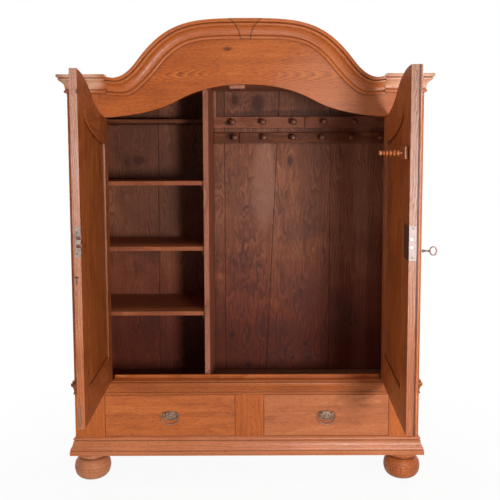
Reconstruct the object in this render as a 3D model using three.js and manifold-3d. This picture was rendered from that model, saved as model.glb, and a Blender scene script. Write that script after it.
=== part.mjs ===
// A two-door wardrobe with an arched pediment, two drawers and four bun feet, in millimetres.
// X runs to the right, Y into the depth and Z up. Places are worked out from the middle of the front
// frame's face at floor level, and the finished group is then centred in depth over the floor.
// At rest both doors stand open, the drawers are shut and the bails hang.

import * as THREE from 'three';
import * as BufferGeometryUtils from 'three/addons/utils/BufferGeometryUtils.js';
import Module from 'manifold-3d';

const wasm = await Module();
wasm.setup();

// Clearances
const SEAT_GAP = 0.3; // between pieces that rest on each other inside one node or a turned group
const CUT_OVERRUN = 5; // how far a cutter runs past the face that it cuts

// Carcass
const CARCASS_WIDTH = 1600;
const OPENING_WIDTH = 1322; // between the front stiles
const INNER_DEPTH = 462; // from the back of the front frame to the face of the back boards
const FRAME_THICKNESS = 29;
const SIDE_THICKNESS = 24;
const BACK_THICKNESS = 15;
const BOARD_THICKNESS = 18; // floor and bottom boards
const ROOF_THICKNESS = 12;
const ROOF_SETDOWN = 12; // of its upper face below the corner of the cornice

// Heights, each counted up from the one before
const FOOT_HEIGHT = 136;
const BASE_HEIGHT = 84;
const DRAWER_OPENING_HEIGHT = 199;
const WAIST_HEIGHT = 69;
const SPRING_HEIGHT = 1209; // waist to the springing of the arch
const FLOOR_DROP = 27; // the inner floor lies this far below the top of the drawer opening

// Heights above the springing
const ARCH_RISE = 146;
const CORNER_TOP = 187;
const CORNER_LOWER = 108;
const CORNICE_CROWN_TOP = 428;
const CORNICE_CROWN_LOWER = 344;
const CORNICE_DIP_TOP = 172;
const CORNICE_DIP_LOWER = 96;
const CORNICE_KINK_TOP = 178;
const CORNICE_KINK_LOWER = 100;

// Reaches of the cornice from the middle
const DIP_TOP_REACH = 591;
const DIP_LOWER_REACH = 541;
const KINK_REACH = 622; // where the curved length meets the straight corner length

// Shares of the reach and the rise that shape the three S curves, with their slope where they bend over
const ARCH_SHARES = {
  bendAcross: 0.493, bendUp: 0.445, crown: 0.19,
  bendIn: 0.186, bendOut: 0.112, end: 0.18,
};
const LOWER_SHARES = {
  bendAcross: 0.736, bendUp: 0.448, crown: 0.445,
  bendIn: 0.322, bendOut: 0.135, end: 0.065,
};
const TOP_SHARES = {
  bendAcross: 0.783, bendUp: 0.371, crown: 0.374,
  bendIn: 0.343, bendOut: 0.075, end: 0.105,
};
const ARCH_SLOPE = THREE.MathUtils.degToRad(29);
const CORNICE_SLOPE = THREE.MathUtils.degToRad(51);
const CROWN_STEPS = 12;
const END_STEPS = 6;

// Mouldings
const CORNICE_PROJECTION = 37;
const CORNER_BREAK = 6; // the corner lengths stand this much further forward
const CORNER_STEP = 1; // over this length
const WAIST_PROJECTION = 13;
const BASE_PROJECTION = 24;
const KEYSTONE_TOP = 142; // width
const KEYSTONE_FOOT = 40;
const KEYSTONE_WAIST_SHARE = 0.42;
const KEYSTONE_PROUD = 5;

// Profiles, as shares of projection and height, from the bottom up
const CORNICE_PROFILE_SHARES = [
  [0, 0], [0.18, 0], [0.25, 0.04], [0.27, 0.09], [0.22, 0.14], [0.13, 0.17],
  [0.16, 0.3], [0.27, 0.44], [0.46, 0.56], [0.72, 0.64], [0.8, 0.67], [0.8, 0.79],
  [0.9, 0.81], [1, 0.84], [1, 1], [0, 1],
];
const WAIST_PROFILE_SHARES = [
  [0, 0.03], [0.3, 0.03], [0.3, 0.15], [0.15, 0.2], [0.22, 0.38], [0.55, 0.56],
  [0.92, 0.68], [1, 0.78], [0.9, 0.88], [0.55, 0.92], [0.55, 1], [0, 1],
];
const BASE_PROFILE_SHARES = [
  [0, 0], [0.97, 0], [1, 0.03], [1, 0.27], [0.93, 0.33], [0.72, 0.45], [0.5, 0.6],
  [0.4, 0.72], [0.4, 0.84], [0.25, 0.92], [0.1, 0.96], [0, 1],
];

// Feet
const FOOT_RADIUS = 86;
const FOOT_INSET = 62; // from the carcass side to the foot's axis
const FRONT_FOOT_SETBACK = 70; // from the carcass front to the foot's axis
const REAR_FOOT_SETBACK = 92; // from the carcass back, so that the feet clear a wall
const FOOT_PROFILE_SHARES = [
  [0, 0], [0.51, 0], [0.76, 0.07], [0.93, 0.2], [1, 0.38], [0.97, 0.54], [0.87, 0.67], [0.74, 0.76],
  [0.7, 0.78], [0.78, 0.81], [0.84, 0.85], [0.84, 0.95], [0.8, 1], [0, 1],
];
const FOOT_SIDES = 22;

// Side frames
const SIDE_STILE_WIDTH = 92;
const SIDE_RAIL_HEIGHT = 100;
const SIDE_WAIST_RAIL_HEIGHT = 100;
const SIDE_TOP_RAIL_HEIGHT = 120;
const SIDE_MIDDLE_SHARE = 0.5; // where the middle rail lies up the tall part
const SIDE_PANEL_THICKNESS = 14;
const SIDE_PANEL_BEVEL = 34;
const SIDE_PANEL_TONGUE = 6;

// Back boards: their joints at the foot and at the top, counted from the middle
const BACK_JOINTS_FOOT = [-470, -116, 86, 432];
const BACK_JOINTS_TOP = [-458, -116, 170, 434];
const BACK_JOINT_WIDTH = 3;
const BACK_JOINT_DEPTH = 4;

// Drawers
const MUNTIN_WIDTH = 133;
const MUNTIN_OFFSET = 12; // to the right of the middle
const DRAWER_GAP = 1.5; // round a drawer front
const DRAWER_FRONT_THICKNESS = 23;
const DRAWER_SIDE_THICKNESS = 12;
const DRAWER_SIDE_HEIGHT = 140;
const DRAWER_DEPTH = 440; // behind the front
const DRAWER_BOTTOM_THICKNESS = 8;
const DRAWER_BOTTOM_RAISE = 8;
const RUNNER_WIDTH = 22; // under a drawer side
const GUIDE_HEIGHT = 40;

// Inner fittings
const THRESHOLD_LIP = 17; // above the waist
const THRESHOLD_THICKNESS = 12;
const THRESHOLD_LENGTH = 1236;
const DIVIDER_THICKNESS = 23;
const DIVIDER_PLACE = -183.5; // its middle
const SHELF_THICKNESS = 19;
// A shelf's drop is from the springing to its upper face, its setback from the divider's front edge.
const TOP_SHELF = { drop: -12, setback: 309 };
const SECOND_SHELF = { drop: 288, setback: 17 };
const THIRD_SHELF = { drop: 592, setback: 17 };
const LOW_SHELF = { drop: 897, setback: 17 };
const CLEAT_HEIGHT = 20;
const CLEAT_THICKNESS = 14;
const CLEAT_SETBACK = 30;
const CLEAT_HOUSING = 2;
const PEG_RAIL_THICKNESS = 20;
// A rail's drop is from the springing. Its pegs stand evenly from one by the divider to one by the side.
const UPPER_RAIL = { drop: 27, height: 58, fromDivider: 101, fromSide: 69.5 };
const LOWER_RAIL = { drop: 104, height: 54, fromDivider: 113, fromSide: 92 };
const PEGS_PER_RAIL = 6;
const PEG_TENON = 8; // in the rail
const PEG_LENGTH = 68; // with the tenon
const PEG_HEAD_RADIUS = 16;
const PEG_PROFILE_SHARES = [
  [0, 0], [0.6, 0], [0.6, 0.16], [0.42, 0.22], [0.4, 0.62], [0.68, 0.75], [1, 0.85], [0.86, 0.95], [0, 1],
];
const PEG_SIDES = 10;
const STOP_LENGTH = 69;
const STOP_DROP = 16; // below the crown of the arch
const STOP_HEIGHT = 32;
const STOP_THICKNESS = 20;

// Doors
const DOOR_THICKNESS = 28;
const DOOR_SIDE_GAP = 2; // at the hinge edge
const DOOR_TOP_GAP = 4;
const DOOR_FOOT_GAP = 2;
const DOOR_MEETING_GAP = 2;
const MEETING_OFFSET = -38; // the doors meet left of the middle, under the astragal
const HINGE_STILE_WIDTH = 80;
const LEFT_MEETING_STILE = 110;
const RIGHT_MEETING_STILE = 150;
const BOTTOM_RAIL_HEIGHT = 125;
const PANEL_SPRING_DROP = 119; // the panel's arch starts this far below the springing
const PANEL_ARCH_RISE = 134;
const PANEL_ARCH_SHARES = [0.415, 0.127, 0.856, 0.351];
const PANEL_STEPS = 10;
const PANEL_BEVEL = 27;
const PANEL_RECESS = 3; // the field lies this far below the frame's faces
const TONGUE_THICKNESS = 8;
const TONGUE_LENGTH = 9;
const GROOVE_DEPTH = 10;
const TENON_THICKNESS = 9;
const TENON_HEIGHT = 80;
const TENON_SHOULDER = 14;
const TENON_RISE = 26; // the upper through tenon starts this far above the panel's arch
const BLIND_TENON = 38;
const LEFT_OPEN_ANGLE = THREE.MathUtils.degToRad(88.2);
const RIGHT_OPEN_ANGLE = THREE.MathUtils.degToRad(87.3);

// Pivots
const PIVOT_FROM_EDGE = 12; // from the door's hinge edge
const PIVOT_FROM_FACE = 6; // from its outer face
const PIN_RADIUS = 3.6;
const PIN_HOLE_GAP = 0.3;
const PIN_IN_DOOR = 11;
const PIN_IN_CARCASS = 12;
const PIN_SIDES = 16;
const PLATE_THICKNESS = 1.2;
const PLATE_WIDTH = 27;
const PLATE_DEPTH = 34;
const PLATE_LIP = 12;
const PLATE_LIP_THICKNESS = 2;

// Astragal
const ASTRAGAL_WIDTH = 88;
const ASTRAGAL_THICKNESS = 14;
const ASTRAGAL_PROFILE_SHARES = [[0.92, 0], [0.92, 0.3], [1, 0.36], [1, 0.6], [0.74, 0.68], [0.56, 1]];

// Lock, strike and key
const LOCK_HEIGHT = 713; // its middle above the door's foot
const FOREND_HEIGHT = 127;
const FOREND_THICKNESS = 2;
const CASE_WIDTH = 108;
const CASE_THICKNESS = 18;
const CASE_WALL = 2;
const BOLT_HEIGHT = 10;
const BOLT_THICKNESS = 10;
const BOLT_SPREAD = 30; // between the two bolts
const BOLT_LENGTH = 82;
const BOLT_FROM_FACE = 5; // from the door's inner face
const BOLT_BRIDGE = 8;
const BOLT_TRAVEL = 12;
const STRIKE_HEIGHT = 115;
const STRIKE_WIDTH = 21;
const NOTCH_GAP = 1.25; // round a bolt in the strike plate
const POCKET_SPARE = 2; // beyond the thrown bolt
const KEY_DROP = 31; // the keyhole below the lock's middle
const KEY_SHAFT_RADIUS = 3.2;
const KEY_HOLE_RADIUS = 4;
const KEY_END_IN_CASE = 4; // short of the case's inner wall
const KEY_REACH = 81; // from the door's outer face to the far end of the bow
const KEY_BOW_RADIUS = 16;
const KEY_BOW_SQUEEZE_SHARE = 0.74;
const KEY_WIRE_RADIUS = 2.6;
const KEY_COLLAR_RADIUS = 6;
const KEY_COLLAR_LENGTH = 7;
const KEY_COLLAR_PLACE = 27; // from the door's outer face
const KEY_BIT_REACH = 6.2;
const KEY_BIT_WIDTH = 6;
const KEY_BIT_THICKNESS = 2.4;
const ROUND_STEPS = 20;

// Tie peg on the right door
const TIE_BLOCK_HEIGHT = 46;
const TIE_BLOCK_THICKNESS = 14;
const TIE_BLOCK_LENGTH = 100;
const TIE_BLOCK_FROM_EDGE = 36; // from the meeting edge
const TIE_PEG_PLACE_SHARE = 0.3; // of the block, from its end near the hinge
const TIE_PEG_HEIGHT = 1038; // its axis above the door's foot
const TIE_PEG_LENGTH = 97; // with the tenon
const TIE_PEG_RADIUS = 11;
const TIE_PEG_PROFILE_SHARES = [
  [0, 0], [0.8, 0], [0.8, 0.03], [0.42, 0.07], [0.4, 0.14], [0.56, 0.23], [0.95, 0.27], [0.95, 0.31],
  [0.45, 0.35], [1, 0.42], [0.45, 0.49], [0.92, 0.56], [0.42, 0.63], [0.92, 0.7], [0.42, 0.76],
  [0.78, 0.81], [0.4, 0.86], [0.78, 0.91], [0.78, 0.97], [0.5, 1], [0, 1],
];
const TIE_PEG_SIDES = 12;

// Drawer pulls
const PULL_WIDTH = 72;
const PULL_HEIGHT = 46;
const PULL_THICKNESS = 6;
const PULL_PROFILE_SHARES = [[0, 0], [1, 0], [1, 0.28], [0.84, 0.36], [0.74, 0.75], [0, 1]];
const PULL_SIDES = 24;
const POST_SPACING = 54;
const POST_RISE = 12; // above the plate's middle
const POST_RADIUS = 5.5;
const POST_LENGTH = 14;
const BAIL_OFFSET = 8; // its wire's middle in front of the drawer
const BAIL_WIRE_RADIUS = 2.6;
const BAIL_HOLE_GAP = 0.5;
const BAIL_HALF_WIDTH = 42;
const BAIL_HALF_HEIGHT = 36;
const BAIL_MIDDLE_DROP = 4; // the oval's middle below the plate's middle
const BAIL_PIN_INSET = 3; // how far a pin's end stays short of the post's far side
const BAIL_STEPS = 26;
const WIRE_SIDES = 8;

// Levels above the floor
const carcassFoot = FOOT_HEIGHT;
const drawerOpeningFoot = carcassFoot + BASE_HEIGHT;
const drawerOpeningTop = drawerOpeningFoot + DRAWER_OPENING_HEIGHT;
const waistTop = drawerOpeningTop + WAIST_HEIGHT;
const springing = waistTop + SPRING_HEIGHT;
const cornerTop = springing + CORNER_TOP;
const roofSeat = cornerTop - ROOF_SETDOWN - ROOF_THICKNESS;
const floorTop = drawerOpeningTop - FLOOR_DROP;
const doorFoot = waistTop + DOOR_FOOT_GAP;
const lockMiddle = doorFoot + LOCK_HEIGHT;
const keyHeight = lockMiddle - KEY_DROP;

// Places across and in depth
const halfCarcass = CARCASS_WIDTH / 2;
const halfOpening = OPENING_WIDTH / 2;
const sideFace = halfCarcass - SIDE_THICKNESS;
const backFace = FRAME_THICKNESS + INNER_DEPTH;
const carcassBack = backFace + BACK_THICKNESS;
const doorEdge = halfOpening - DOOR_SIDE_GAP;
const pivotReach = doorEdge - PIVOT_FROM_EDGE;
const dividerFront = FRAME_THICKNESS + THRESHOLD_THICKNESS;
const shelves = [TOP_SHELF, SECOND_SHELF, THIRD_SHELF, LOW_SHELF].map(({ drop, setback }) => ({
  top: springing - drop,
  front: dividerFront + setback,
}));
const dividerRight = DIVIDER_PLACE + DIVIDER_THICKNESS / 2;
const dividerLeft = DIVIDER_PLACE - DIVIDER_THICKNESS / 2;

const oakOutside = new THREE.MeshStandardMaterial({ color: 0xb8703f, roughness: 0.5, metalness: 0 });
const oakInside = new THREE.MeshStandardMaterial({ color: 0x7a3d20, roughness: 0.6, metalness: 0 });
const softwood = new THREE.MeshStandardMaterial({ color: 0x5c3323, roughness: 0.75, metalness: 0 });
const turnedWood = new THREE.MeshStandardMaterial({ color: 0xa8642f, roughness: 0.45, metalness: 0 });
const steel = new THREE.MeshStandardMaterial({ color: 0xb9b4b4, roughness: 0.35, metalness: 1 });
const brass = new THREE.MeshStandardMaterial({ color: 0x97826f, roughness: 0.4, metalness: 1 });
const copper = new THREE.MeshStandardMaterial({ color: 0xc08a66, roughness: 0.4, metalness: 1 });

// Keeps only the places of a geometry, welds them and drops triangles without area.
function plain(geometry) {
  const bare = new THREE.BufferGeometry();
  bare.setAttribute('position', geometry.getAttribute('position').clone());
  if (geometry.index) bare.setIndex(geometry.index.clone());
  const welded = BufferGeometryUtils.mergeVertices(bare);
  const corners = [...welded.index.array];
  const kept = [];
  for (let i = 0; i < corners.length; i += 3) {
    const [a, b, c] = corners.slice(i, i + 3);
    if (a !== b && b !== c && c !== a) kept.push(a, b, c);
  }
  welded.setIndex(kept);
  return welded;
}

function toSolid(geometry) {
  const vertProperties = new Float32Array(geometry.getAttribute('position').array);
  const triVerts = new Uint32Array(geometry.index.array);
  return new wasm.Manifold(new wasm.Mesh({ numProp: 3, vertProperties, triVerts }));
}

function fromSolid(solid) {
  const mesh = solid.getMesh();
  const geometry = new THREE.BufferGeometry();
  geometry.setAttribute('position', new THREE.BufferAttribute(new Float32Array(mesh.vertProperties), 3));
  geometry.setIndex([...mesh.triVerts]);
  return plain(geometry);
}

function cut(geometry, ...cutters) {
  return fromSolid(cutters.reduce((solid, cutter) => solid.subtract(toSolid(cutter)), toSolid(geometry)));
}

function joined(geometry, ...others) {
  return fromSolid(others.reduce((solid, other) => solid.add(toSolid(other)), toSolid(geometry)));
}

function common(geometry, other) {
  return fromSolid(toSolid(geometry).intersect(toSolid(other)));
}

// Turns a geometry's faces outwards if they point in.
function outward(geometry) {
  return volumeOf(geometry) < 0 ? flipped(geometry) : geometry;
}

function flipped(geometry) {
  const corners = geometry.index.array;
  const turned = [];
  for (let i = 0; i < corners.length; i += 3) turned.push(corners[i], corners[i + 2], corners[i + 1]);
  geometry.setIndex(turned);
  return geometry;
}

function mirrored(geometry) {
  return flipped(geometry.clone().scale(-1, 1, 1));
}

function moved(geometry, x, y, z) {
  return geometry.clone().translate(x, y, z);
}

function block(left, right, front, back, bottom, top) {
  const box = new THREE.BoxGeometry(right - left, back - front, top - bottom);
  return plain(box.translate((left + right) / 2, (front + back) / 2, (bottom + top) / 2));
}

function extruded(points, depth) {
  const shape = new THREE.Shape(points.map(([x, y]) => new THREE.Vector2(x, y)));
  return plain(new THREE.ExtrudeGeometry(shape, { depth, bevelEnabled: false, steps: 1 }));
}

// An outline in X and Z, made solid from one depth to another.
function slab(points, front, back) {
  return extruded(points, back - front).rotateX(Math.PI / 2).translate(0, back, 0);
}

// An outline in X and Y, made solid from one height to another.
function post(points, bottom, top) {
  return extruded(points, top - bottom).translate(0, 0, bottom);
}

// An outline in Y and Z, made solid from left to right.
function beam(points, left, right) {
  const turn = new THREE.Matrix4().makeBasis(
    new THREE.Vector3(0, 1, 0),
    new THREE.Vector3(0, 0, 1),
    new THREE.Vector3(1, 0, 0),
  );
  return extruded(points, right - left).applyMatrix4(turn).translate(left, 0, 0);
}

// A turned piece, standing on Z; the profile's shares are of its radius and its height.
function turned(shares, radius, height, sides) {
  const profile = shares.map(([r, h]) => new THREE.Vector2(r * radius, h * height));
  return outward(plain(new THREE.LatheGeometry(profile, sides)).rotateX(Math.PI / 2));
}

function rod(radius, bottom, top, sides) {
  const cylinder = new THREE.CylinderGeometry(radius, radius, top - bottom, sides);
  return plain(cylinder).rotateX(Math.PI / 2).translate(0, 0, (bottom + top) / 2);
}

// A skin over rings that have the same count of points, closed by a flat cap at each end.
function lofted(rings, section) {
  const count = section.length;
  const places = rings.flat().flatMap((point) => [point.x, point.y, point.z]);
  const corners = [];
  for (let ring = 0; ring < rings.length - 1; ring += 1) {
    for (let i = 0; i < count; i += 1) {
      const here = ring * count + i;
      const next = ring * count + ((i + 1) % count);
      corners.push(here, next, next + count, here, next + count, here + count);
    }
  }
  const flat = section.map(([x, y]) => new THREE.Vector2(x, y));
  const last = (rings.length - 1) * count;
  const turn = THREE.ShapeUtils.area(flat) < 0;
  for (const [a, b, c] of THREE.ShapeUtils.triangulateShape(flat, [])) {
    const near = turn ? [a, b, c] : [c, b, a];
    corners.push(...near);
    corners.push(...[...near].reverse().map((corner) => corner + last));
  }
  const geometry = new THREE.BufferGeometry();
  geometry.setAttribute('position', new THREE.Float32BufferAttribute(places, 3));
  geometry.setIndex(corners);
  return outward(plain(geometry));
}

function volumeOf(geometry) {
  const place = geometry.getAttribute('position');
  const corner = (i) => new THREE.Vector3().fromBufferAttribute(place, geometry.index.array[i]);
  let volume = 0;
  for (let i = 0; i < geometry.index.count; i += 3) {
    volume += corner(i).dot(corner(i + 1).cross(corner(i + 2)));
  }
  return volume / 6;
}

// The right half of an S curve, from its crown in the middle down to its end.
function sCurve(reach, low, high, shares, slope) {
  const crown = new THREE.Vector2(0, high);
  const end = new THREE.Vector2(reach, low);
  const bend = new THREE.Vector2(reach * shares.bendAcross, low + (high - low) * shares.bendUp);
  const fall = new THREE.Vector2(Math.cos(slope), -Math.sin(slope));
  const upper = new THREE.CubicBezierCurve(
    crown,
    new THREE.Vector2(reach * shares.crown, high),
    bend.clone().addScaledVector(fall, -reach * shares.bendIn),
    bend,
  );
  const lower = new THREE.CubicBezierCurve(
    bend,
    bend.clone().addScaledVector(fall, reach * shares.bendOut),
    new THREE.Vector2(reach - reach * shares.end, low),
    end,
  );
  return [...upper.getPoints(CROWN_STEPS), ...lower.getPoints(END_STEPS).slice(1)];
}

const archCurve = sCurve(halfOpening, springing, springing + ARCH_RISE, ARCH_SHARES, ARCH_SLOPE);
const lowerCurve = [
  ...sCurve(
    DIP_LOWER_REACH,
    springing + CORNICE_DIP_LOWER,
    springing + CORNICE_CROWN_LOWER,
    LOWER_SHARES,
    CORNICE_SLOPE,
  ),
  new THREE.Vector2(KINK_REACH, springing + CORNICE_KINK_LOWER),
];
const topCurve = [
  ...sCurve(
    DIP_TOP_REACH,
    springing + CORNICE_DIP_TOP,
    springing + CORNICE_CROWN_TOP,
    TOP_SHARES,
    CORNICE_SLOPE,
  ),
  new THREE.Vector2(KINK_REACH, springing + CORNICE_KINK_TOP),
];

// Height and slope of a line of points at a place across; both ends run on straight.
function lineAt(points, across) {
  const found = points.findIndex((point) => point.x >= across);
  const after = found < 0 ? points.length - 1 : Math.max(found, 1);
  const a = points[after - 1];
  const b = points[after];
  const slope = (b.y - a.y) / (b.x - a.x);
  return { height: a.y + slope * (across - a.x), slope };
}

// Height of a curve, of which only the right half is kept, at a distance from the middle.
function heightOn(curve, across) {
  return lineAt(curve, Math.abs(across)).height;
}

// Points along a curve from left to right, between two places across, lowered by a gap.
function edgeAlong(curve, left, right, gap) {
  const reaches = curve.map((point) => point.x);
  const both = [...reaches.map((x) => -x).reverse(), ...reaches.slice(1)];
  const inside = both.filter((x) => x > left && x < right);
  return [left, ...inside, right].map((x) => [x, heightOn(curve, x) - gap]);
}

// A ring of a moulding's profile; the place of each point follows from how far it stands out and its height.
function mouldingRing(shares, projection, low, high, place) {
  return shares.map(([out, up]) => place(out * projection, low + (high - low) * up));
}

// The rings of a moulding that turns a mitred corner and runs along the right side to the back.
function returnRings(shares, projection, low, high, forward) {
  const mitre = (out, z) => new THREE.Vector3(halfCarcass + out, -forward(out), z);
  const end = (out, z) => new THREE.Vector3(halfCarcass + out, carcassBack, z);
  return [mitre, end].map((place) => mouldingRing(shares, projection, low, high, place));
}

function mirroredRing(ring) {
  return ring.map((point) => new THREE.Vector3(-point.x, point.y, point.z));
}

// A moulding across the front and back along both sides.
function wrappedMoulding(shares, projection, low, high) {
  const right = returnRings(shares, projection, low, high, (out) => out);
  const left = right.map(mirroredRing).reverse();
  return lofted([...left, ...right], shares);
}

// The keystone's outline, widened by a gap, with hollow flanks.
function keystoneOutline(gap) {
  const top = springing + CORNICE_CROWN_TOP + CUT_OVERRUN;
  const foot = springing + CORNICE_CROWN_LOWER - CUT_OVERRUN;
  const flank = new THREE.QuadraticBezierCurve(
    new THREE.Vector2(KEYSTONE_FOOT / 2 + gap, foot),
    new THREE.Vector2(KEYSTONE_FOOT / 2 + gap, foot + (top - foot) * (1 - KEYSTONE_WAIST_SHARE)),
    new THREE.Vector2(KEYSTONE_TOP / 2 + gap, top),
  ).getPoints(END_STEPS);
  const right = flank.map((point) => [point.x, point.y]);
  const left = flank.map((point) => [-point.x, point.y]).reverse();
  return [...right, ...left];
}

function keystone() {
  const high = springing + CORNICE_CROWN_TOP;
  const low = springing + CORNICE_CROWN_LOWER;
  const depth = CORNICE_PROJECTION + KEYSTONE_PROUD;
  const shift = KEYSTONE_PROUD;
  const face = CORNICE_PROFILE_SHARES.map(([out, up]) => {
    const forward = out === 0 ? 0 : out * (depth - shift) + shift;
    return [-forward, low + (high - low) * up];
  });
  const bar = beam(face, -KEYSTONE_TOP, KEYSTONE_TOP);
  return common(bar, slab(keystoneOutline(0), -depth - CUT_OVERRUN, CUT_OVERRUN));
}

// The right half of the cornice: curved length, straight corner length and side return.
function corniceHalf() {
  const shares = CORNICE_PROFILE_SHARES;
  const curved = lowerCurve.map((low, i) => shares.map(([out, up]) => new THREE.Vector3(
    low.x + (topCurve[i].x - low.x) * up,
    -out * CORNICE_PROJECTION,
    low.y + (topCurve[i].y - low.y) * up,
  )));
  const low = springing + CORNER_LOWER;
  const forward = (out) => (out === 0 ? 0 : out + CORNER_BREAK);
  const start = (out, z) => new THREE.Vector3(KINK_REACH + CORNER_STEP, -forward(out), z);
  const corner = mouldingRing(shares, CORNICE_PROJECTION, low, cornerTop, start);
  const side = returnRings(shares, CORNICE_PROJECTION, low, cornerTop, forward);
  const keyCutter = slab(keystoneOutline(SEAT_GAP), -CORNICE_PROJECTION - CUT_OVERRUN, CUT_OVERRUN);
  return cut(lofted([...curved, corner, ...side], shares), keyCutter);
}

function pivotHole(bottom, top) {
  return rod(PIN_RADIUS + PIN_HOLE_GAP, bottom, top, PIN_SIDES);
}

function friezeBoard() {
  const lower = edgeAlong(archCurve, -halfOpening, halfOpening, 0);
  const upper = edgeAlong(topCurve, -halfOpening, halfOpening, 0).reverse();
  const board = slab([...lower, ...upper], 0, FRAME_THICKNESS);
  const hole = pivotHole(springing - CUT_OVERRUN, springing + PIN_IN_CARCASS);
  return cut(
    board,
    moved(hole, -pivotReach, PIVOT_FROM_FACE, 0),
    moved(hole, pivotReach, PIVOT_FROM_FACE, 0),
  );
}

function waistRail() {
  const rail = block(-halfOpening, halfOpening, 0, FRAME_THICKNESS, drawerOpeningTop, waistTop);
  const hole = pivotHole(waistTop - PIN_IN_CARCASS, waistTop + CUT_OVERRUN);
  return cut(
    rail,
    moved(hole, -pivotReach, PIVOT_FROM_FACE, 0),
    moved(hole, pivotReach, PIVOT_FROM_FACE, 0),
  );
}

function rightFrontStile() {
  return block(halfOpening, halfCarcass, 0, FRAME_THICKNESS, carcassFoot, cornerTop);
}

// The plate under the frieze that carries the right door's upper pin, with a lip behind the closed door.
function rightSocketPlate() {
  const left = halfOpening - PLATE_WIDTH;
  const right = halfOpening - SEAT_GAP;
  const top = springing - SEAT_GAP;
  const front = PIVOT_FROM_FACE - PIN_RADIUS - PLATE_THICKNESS;
  const plate = joined(
    block(left, right, front, PLATE_DEPTH, top - PLATE_THICKNESS, top),
    block(left, right, PLATE_DEPTH - PLATE_LIP_THICKNESS, PLATE_DEPTH, top - PLATE_LIP, top),
  );
  return cut(plate, moved(pivotHole(springing - PLATE_LIP, springing), pivotReach, PIVOT_FROM_FACE, 0));
}

function foot() {
  return turned(FOOT_PROFILE_SHARES, FOOT_RADIUS, FOOT_HEIGHT, FOOT_SIDES);
}

const sideRails = (() => {
  const lower = carcassFoot + SIDE_RAIL_HEIGHT;
  const waist = waistTop + THRESHOLD_LIP - SIDE_WAIST_RAIL_HEIGHT;
  const upper = roofSeat - SIDE_TOP_RAIL_HEIGHT;
  const above = waist + SIDE_WAIST_RAIL_HEIGHT;
  const middle = above + (upper - above) * SIDE_MIDDLE_SHARE - SIDE_RAIL_HEIGHT / 2;
  return [
    [carcassFoot, lower],
    [waist, above],
    [middle, middle + SIDE_RAIL_HEIGHT],
    [upper, roofSeat],
  ];
})();

// A side's outline at one depth of its thickness, drawn in by an inset.
function sideRing(across, bottom, top, inset) {
  const front = FRAME_THICKNESS + SIDE_STILE_WIDTH + inset;
  const back = carcassBack - SIDE_STILE_WIDTH - inset;
  const low = bottom + inset;
  const high = top - inset;
  const corners = [[front, low], [back, low], [back, high], [front, high]];
  return corners.map(([y, z]) => new THREE.Vector3(across, y, z));
}

// Stiles and rails with raised panels between them, glued up as one side.
function rightSide() {
  const whole = block(sideFace, halfCarcass, FRAME_THICKNESS, carcassBack, carcassFoot, roofSeat);
  const inner = sideFace + (SIDE_THICKNESS - SIDE_PANEL_THICKNESS) / 2;
  const square = [[0, 0], [1, 0], [1, 1], [0, 1]];
  const fields = sideRails.slice(1).map(([top], i) => [sideRails[i][1], top]);
  const windows = fields.map(([bottom, top]) => lofted([
    sideRing(sideFace - CUT_OVERRUN, bottom, top, 0),
    sideRing(halfCarcass + CUT_OVERRUN, bottom, top, 0),
  ], square));
  const panels = fields.map(([bottom, top]) => lofted([
    sideRing(inner, bottom, top, -SIDE_PANEL_TONGUE),
    sideRing(inner + SIDE_PANEL_TONGUE, bottom, top, -SIDE_PANEL_TONGUE),
    sideRing(inner + SIDE_PANEL_THICKNESS, bottom, top, SIDE_PANEL_BEVEL),
  ], square));
  return joined(cut(whole, ...windows), ...panels);
}

// The back is five boards glued up edge to edge; their joints show as grooves, of which one slants.
function backBoards() {
  const reach = sideFace - SEAT_GAP;
  const whole = block(-reach, reach, backFace, carcassBack, carcassFoot, roofSeat);
  const groove = (x, z) => [
    new THREE.Vector3(x - BACK_JOINT_WIDTH, backFace - BACK_JOINT_DEPTH, z),
    new THREE.Vector3(x + BACK_JOINT_WIDTH, backFace - BACK_JOINT_DEPTH, z),
    new THREE.Vector3(x, backFace + BACK_JOINT_DEPTH, z),
  ];
  const grooves = BACK_JOINTS_FOOT.map((place, i) => lofted([
    groove(place, carcassFoot - CUT_OVERRUN),
    groove(BACK_JOINTS_TOP[i], roofSeat + CUT_OVERRUN),
  ], [[0, 0], [1, 0], [0, 1]]));
  return cut(whole, ...grooves);
}

function roofBoards() {
  const top = roofSeat + ROOF_THICKNESS;
  return block(-halfCarcass, halfCarcass, FRAME_THICKNESS, carcassBack, roofSeat, top);
}

function floorBoards() {
  const reach = sideFace - SEAT_GAP;
  const front = FRAME_THICKNESS + SEAT_GAP;
  return block(-reach, reach, front, backFace - SEAT_GAP, floorTop - BOARD_THICKNESS, floorTop);
}

// The bottom board with a runner along each side and one in the middle, each with a guide for the drawers.
function drawerBed() {
  const seat = drawerOpeningFoot + DRAWER_GAP - SEAT_GAP;
  const guide = seat + GUIDE_HEIGHT;
  const front = FRAME_THICKNESS + SEAT_GAP;
  const back = backFace - SEAT_GAP;
  const outer = sideFace - SEAT_GAP;
  const innerGuide = MUNTIN_WIDTH / 2;
  const inner = innerGuide + RUNNER_WIDTH;
  const edge = halfOpening - RUNNER_WIDTH;
  const right = slab([
    [edge, carcassFoot], [outer, carcassFoot], [outer, guide],
    [halfOpening, guide], [halfOpening, seat], [edge, seat],
  ], front, back);
  const middle = slab([
    [-inner, carcassFoot], [inner, carcassFoot], [inner, seat], [innerGuide, seat], [innerGuide, guide],
    [-innerGuide, guide], [-innerGuide, seat], [-inner, seat],
  ], front, back);
  const board = block(-outer, outer, front, back, carcassFoot, carcassFoot + BOARD_THICKNESS);
  return joined(board, right, mirrored(right), moved(middle, MUNTIN_OFFSET, 0, 0));
}

function threshold() {
  const half = THRESHOLD_LENGTH / 2;
  return block(-half, half, FRAME_THICKNESS, dividerFront, floorTop, waistTop + THRESHOLD_LIP);
}

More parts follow.
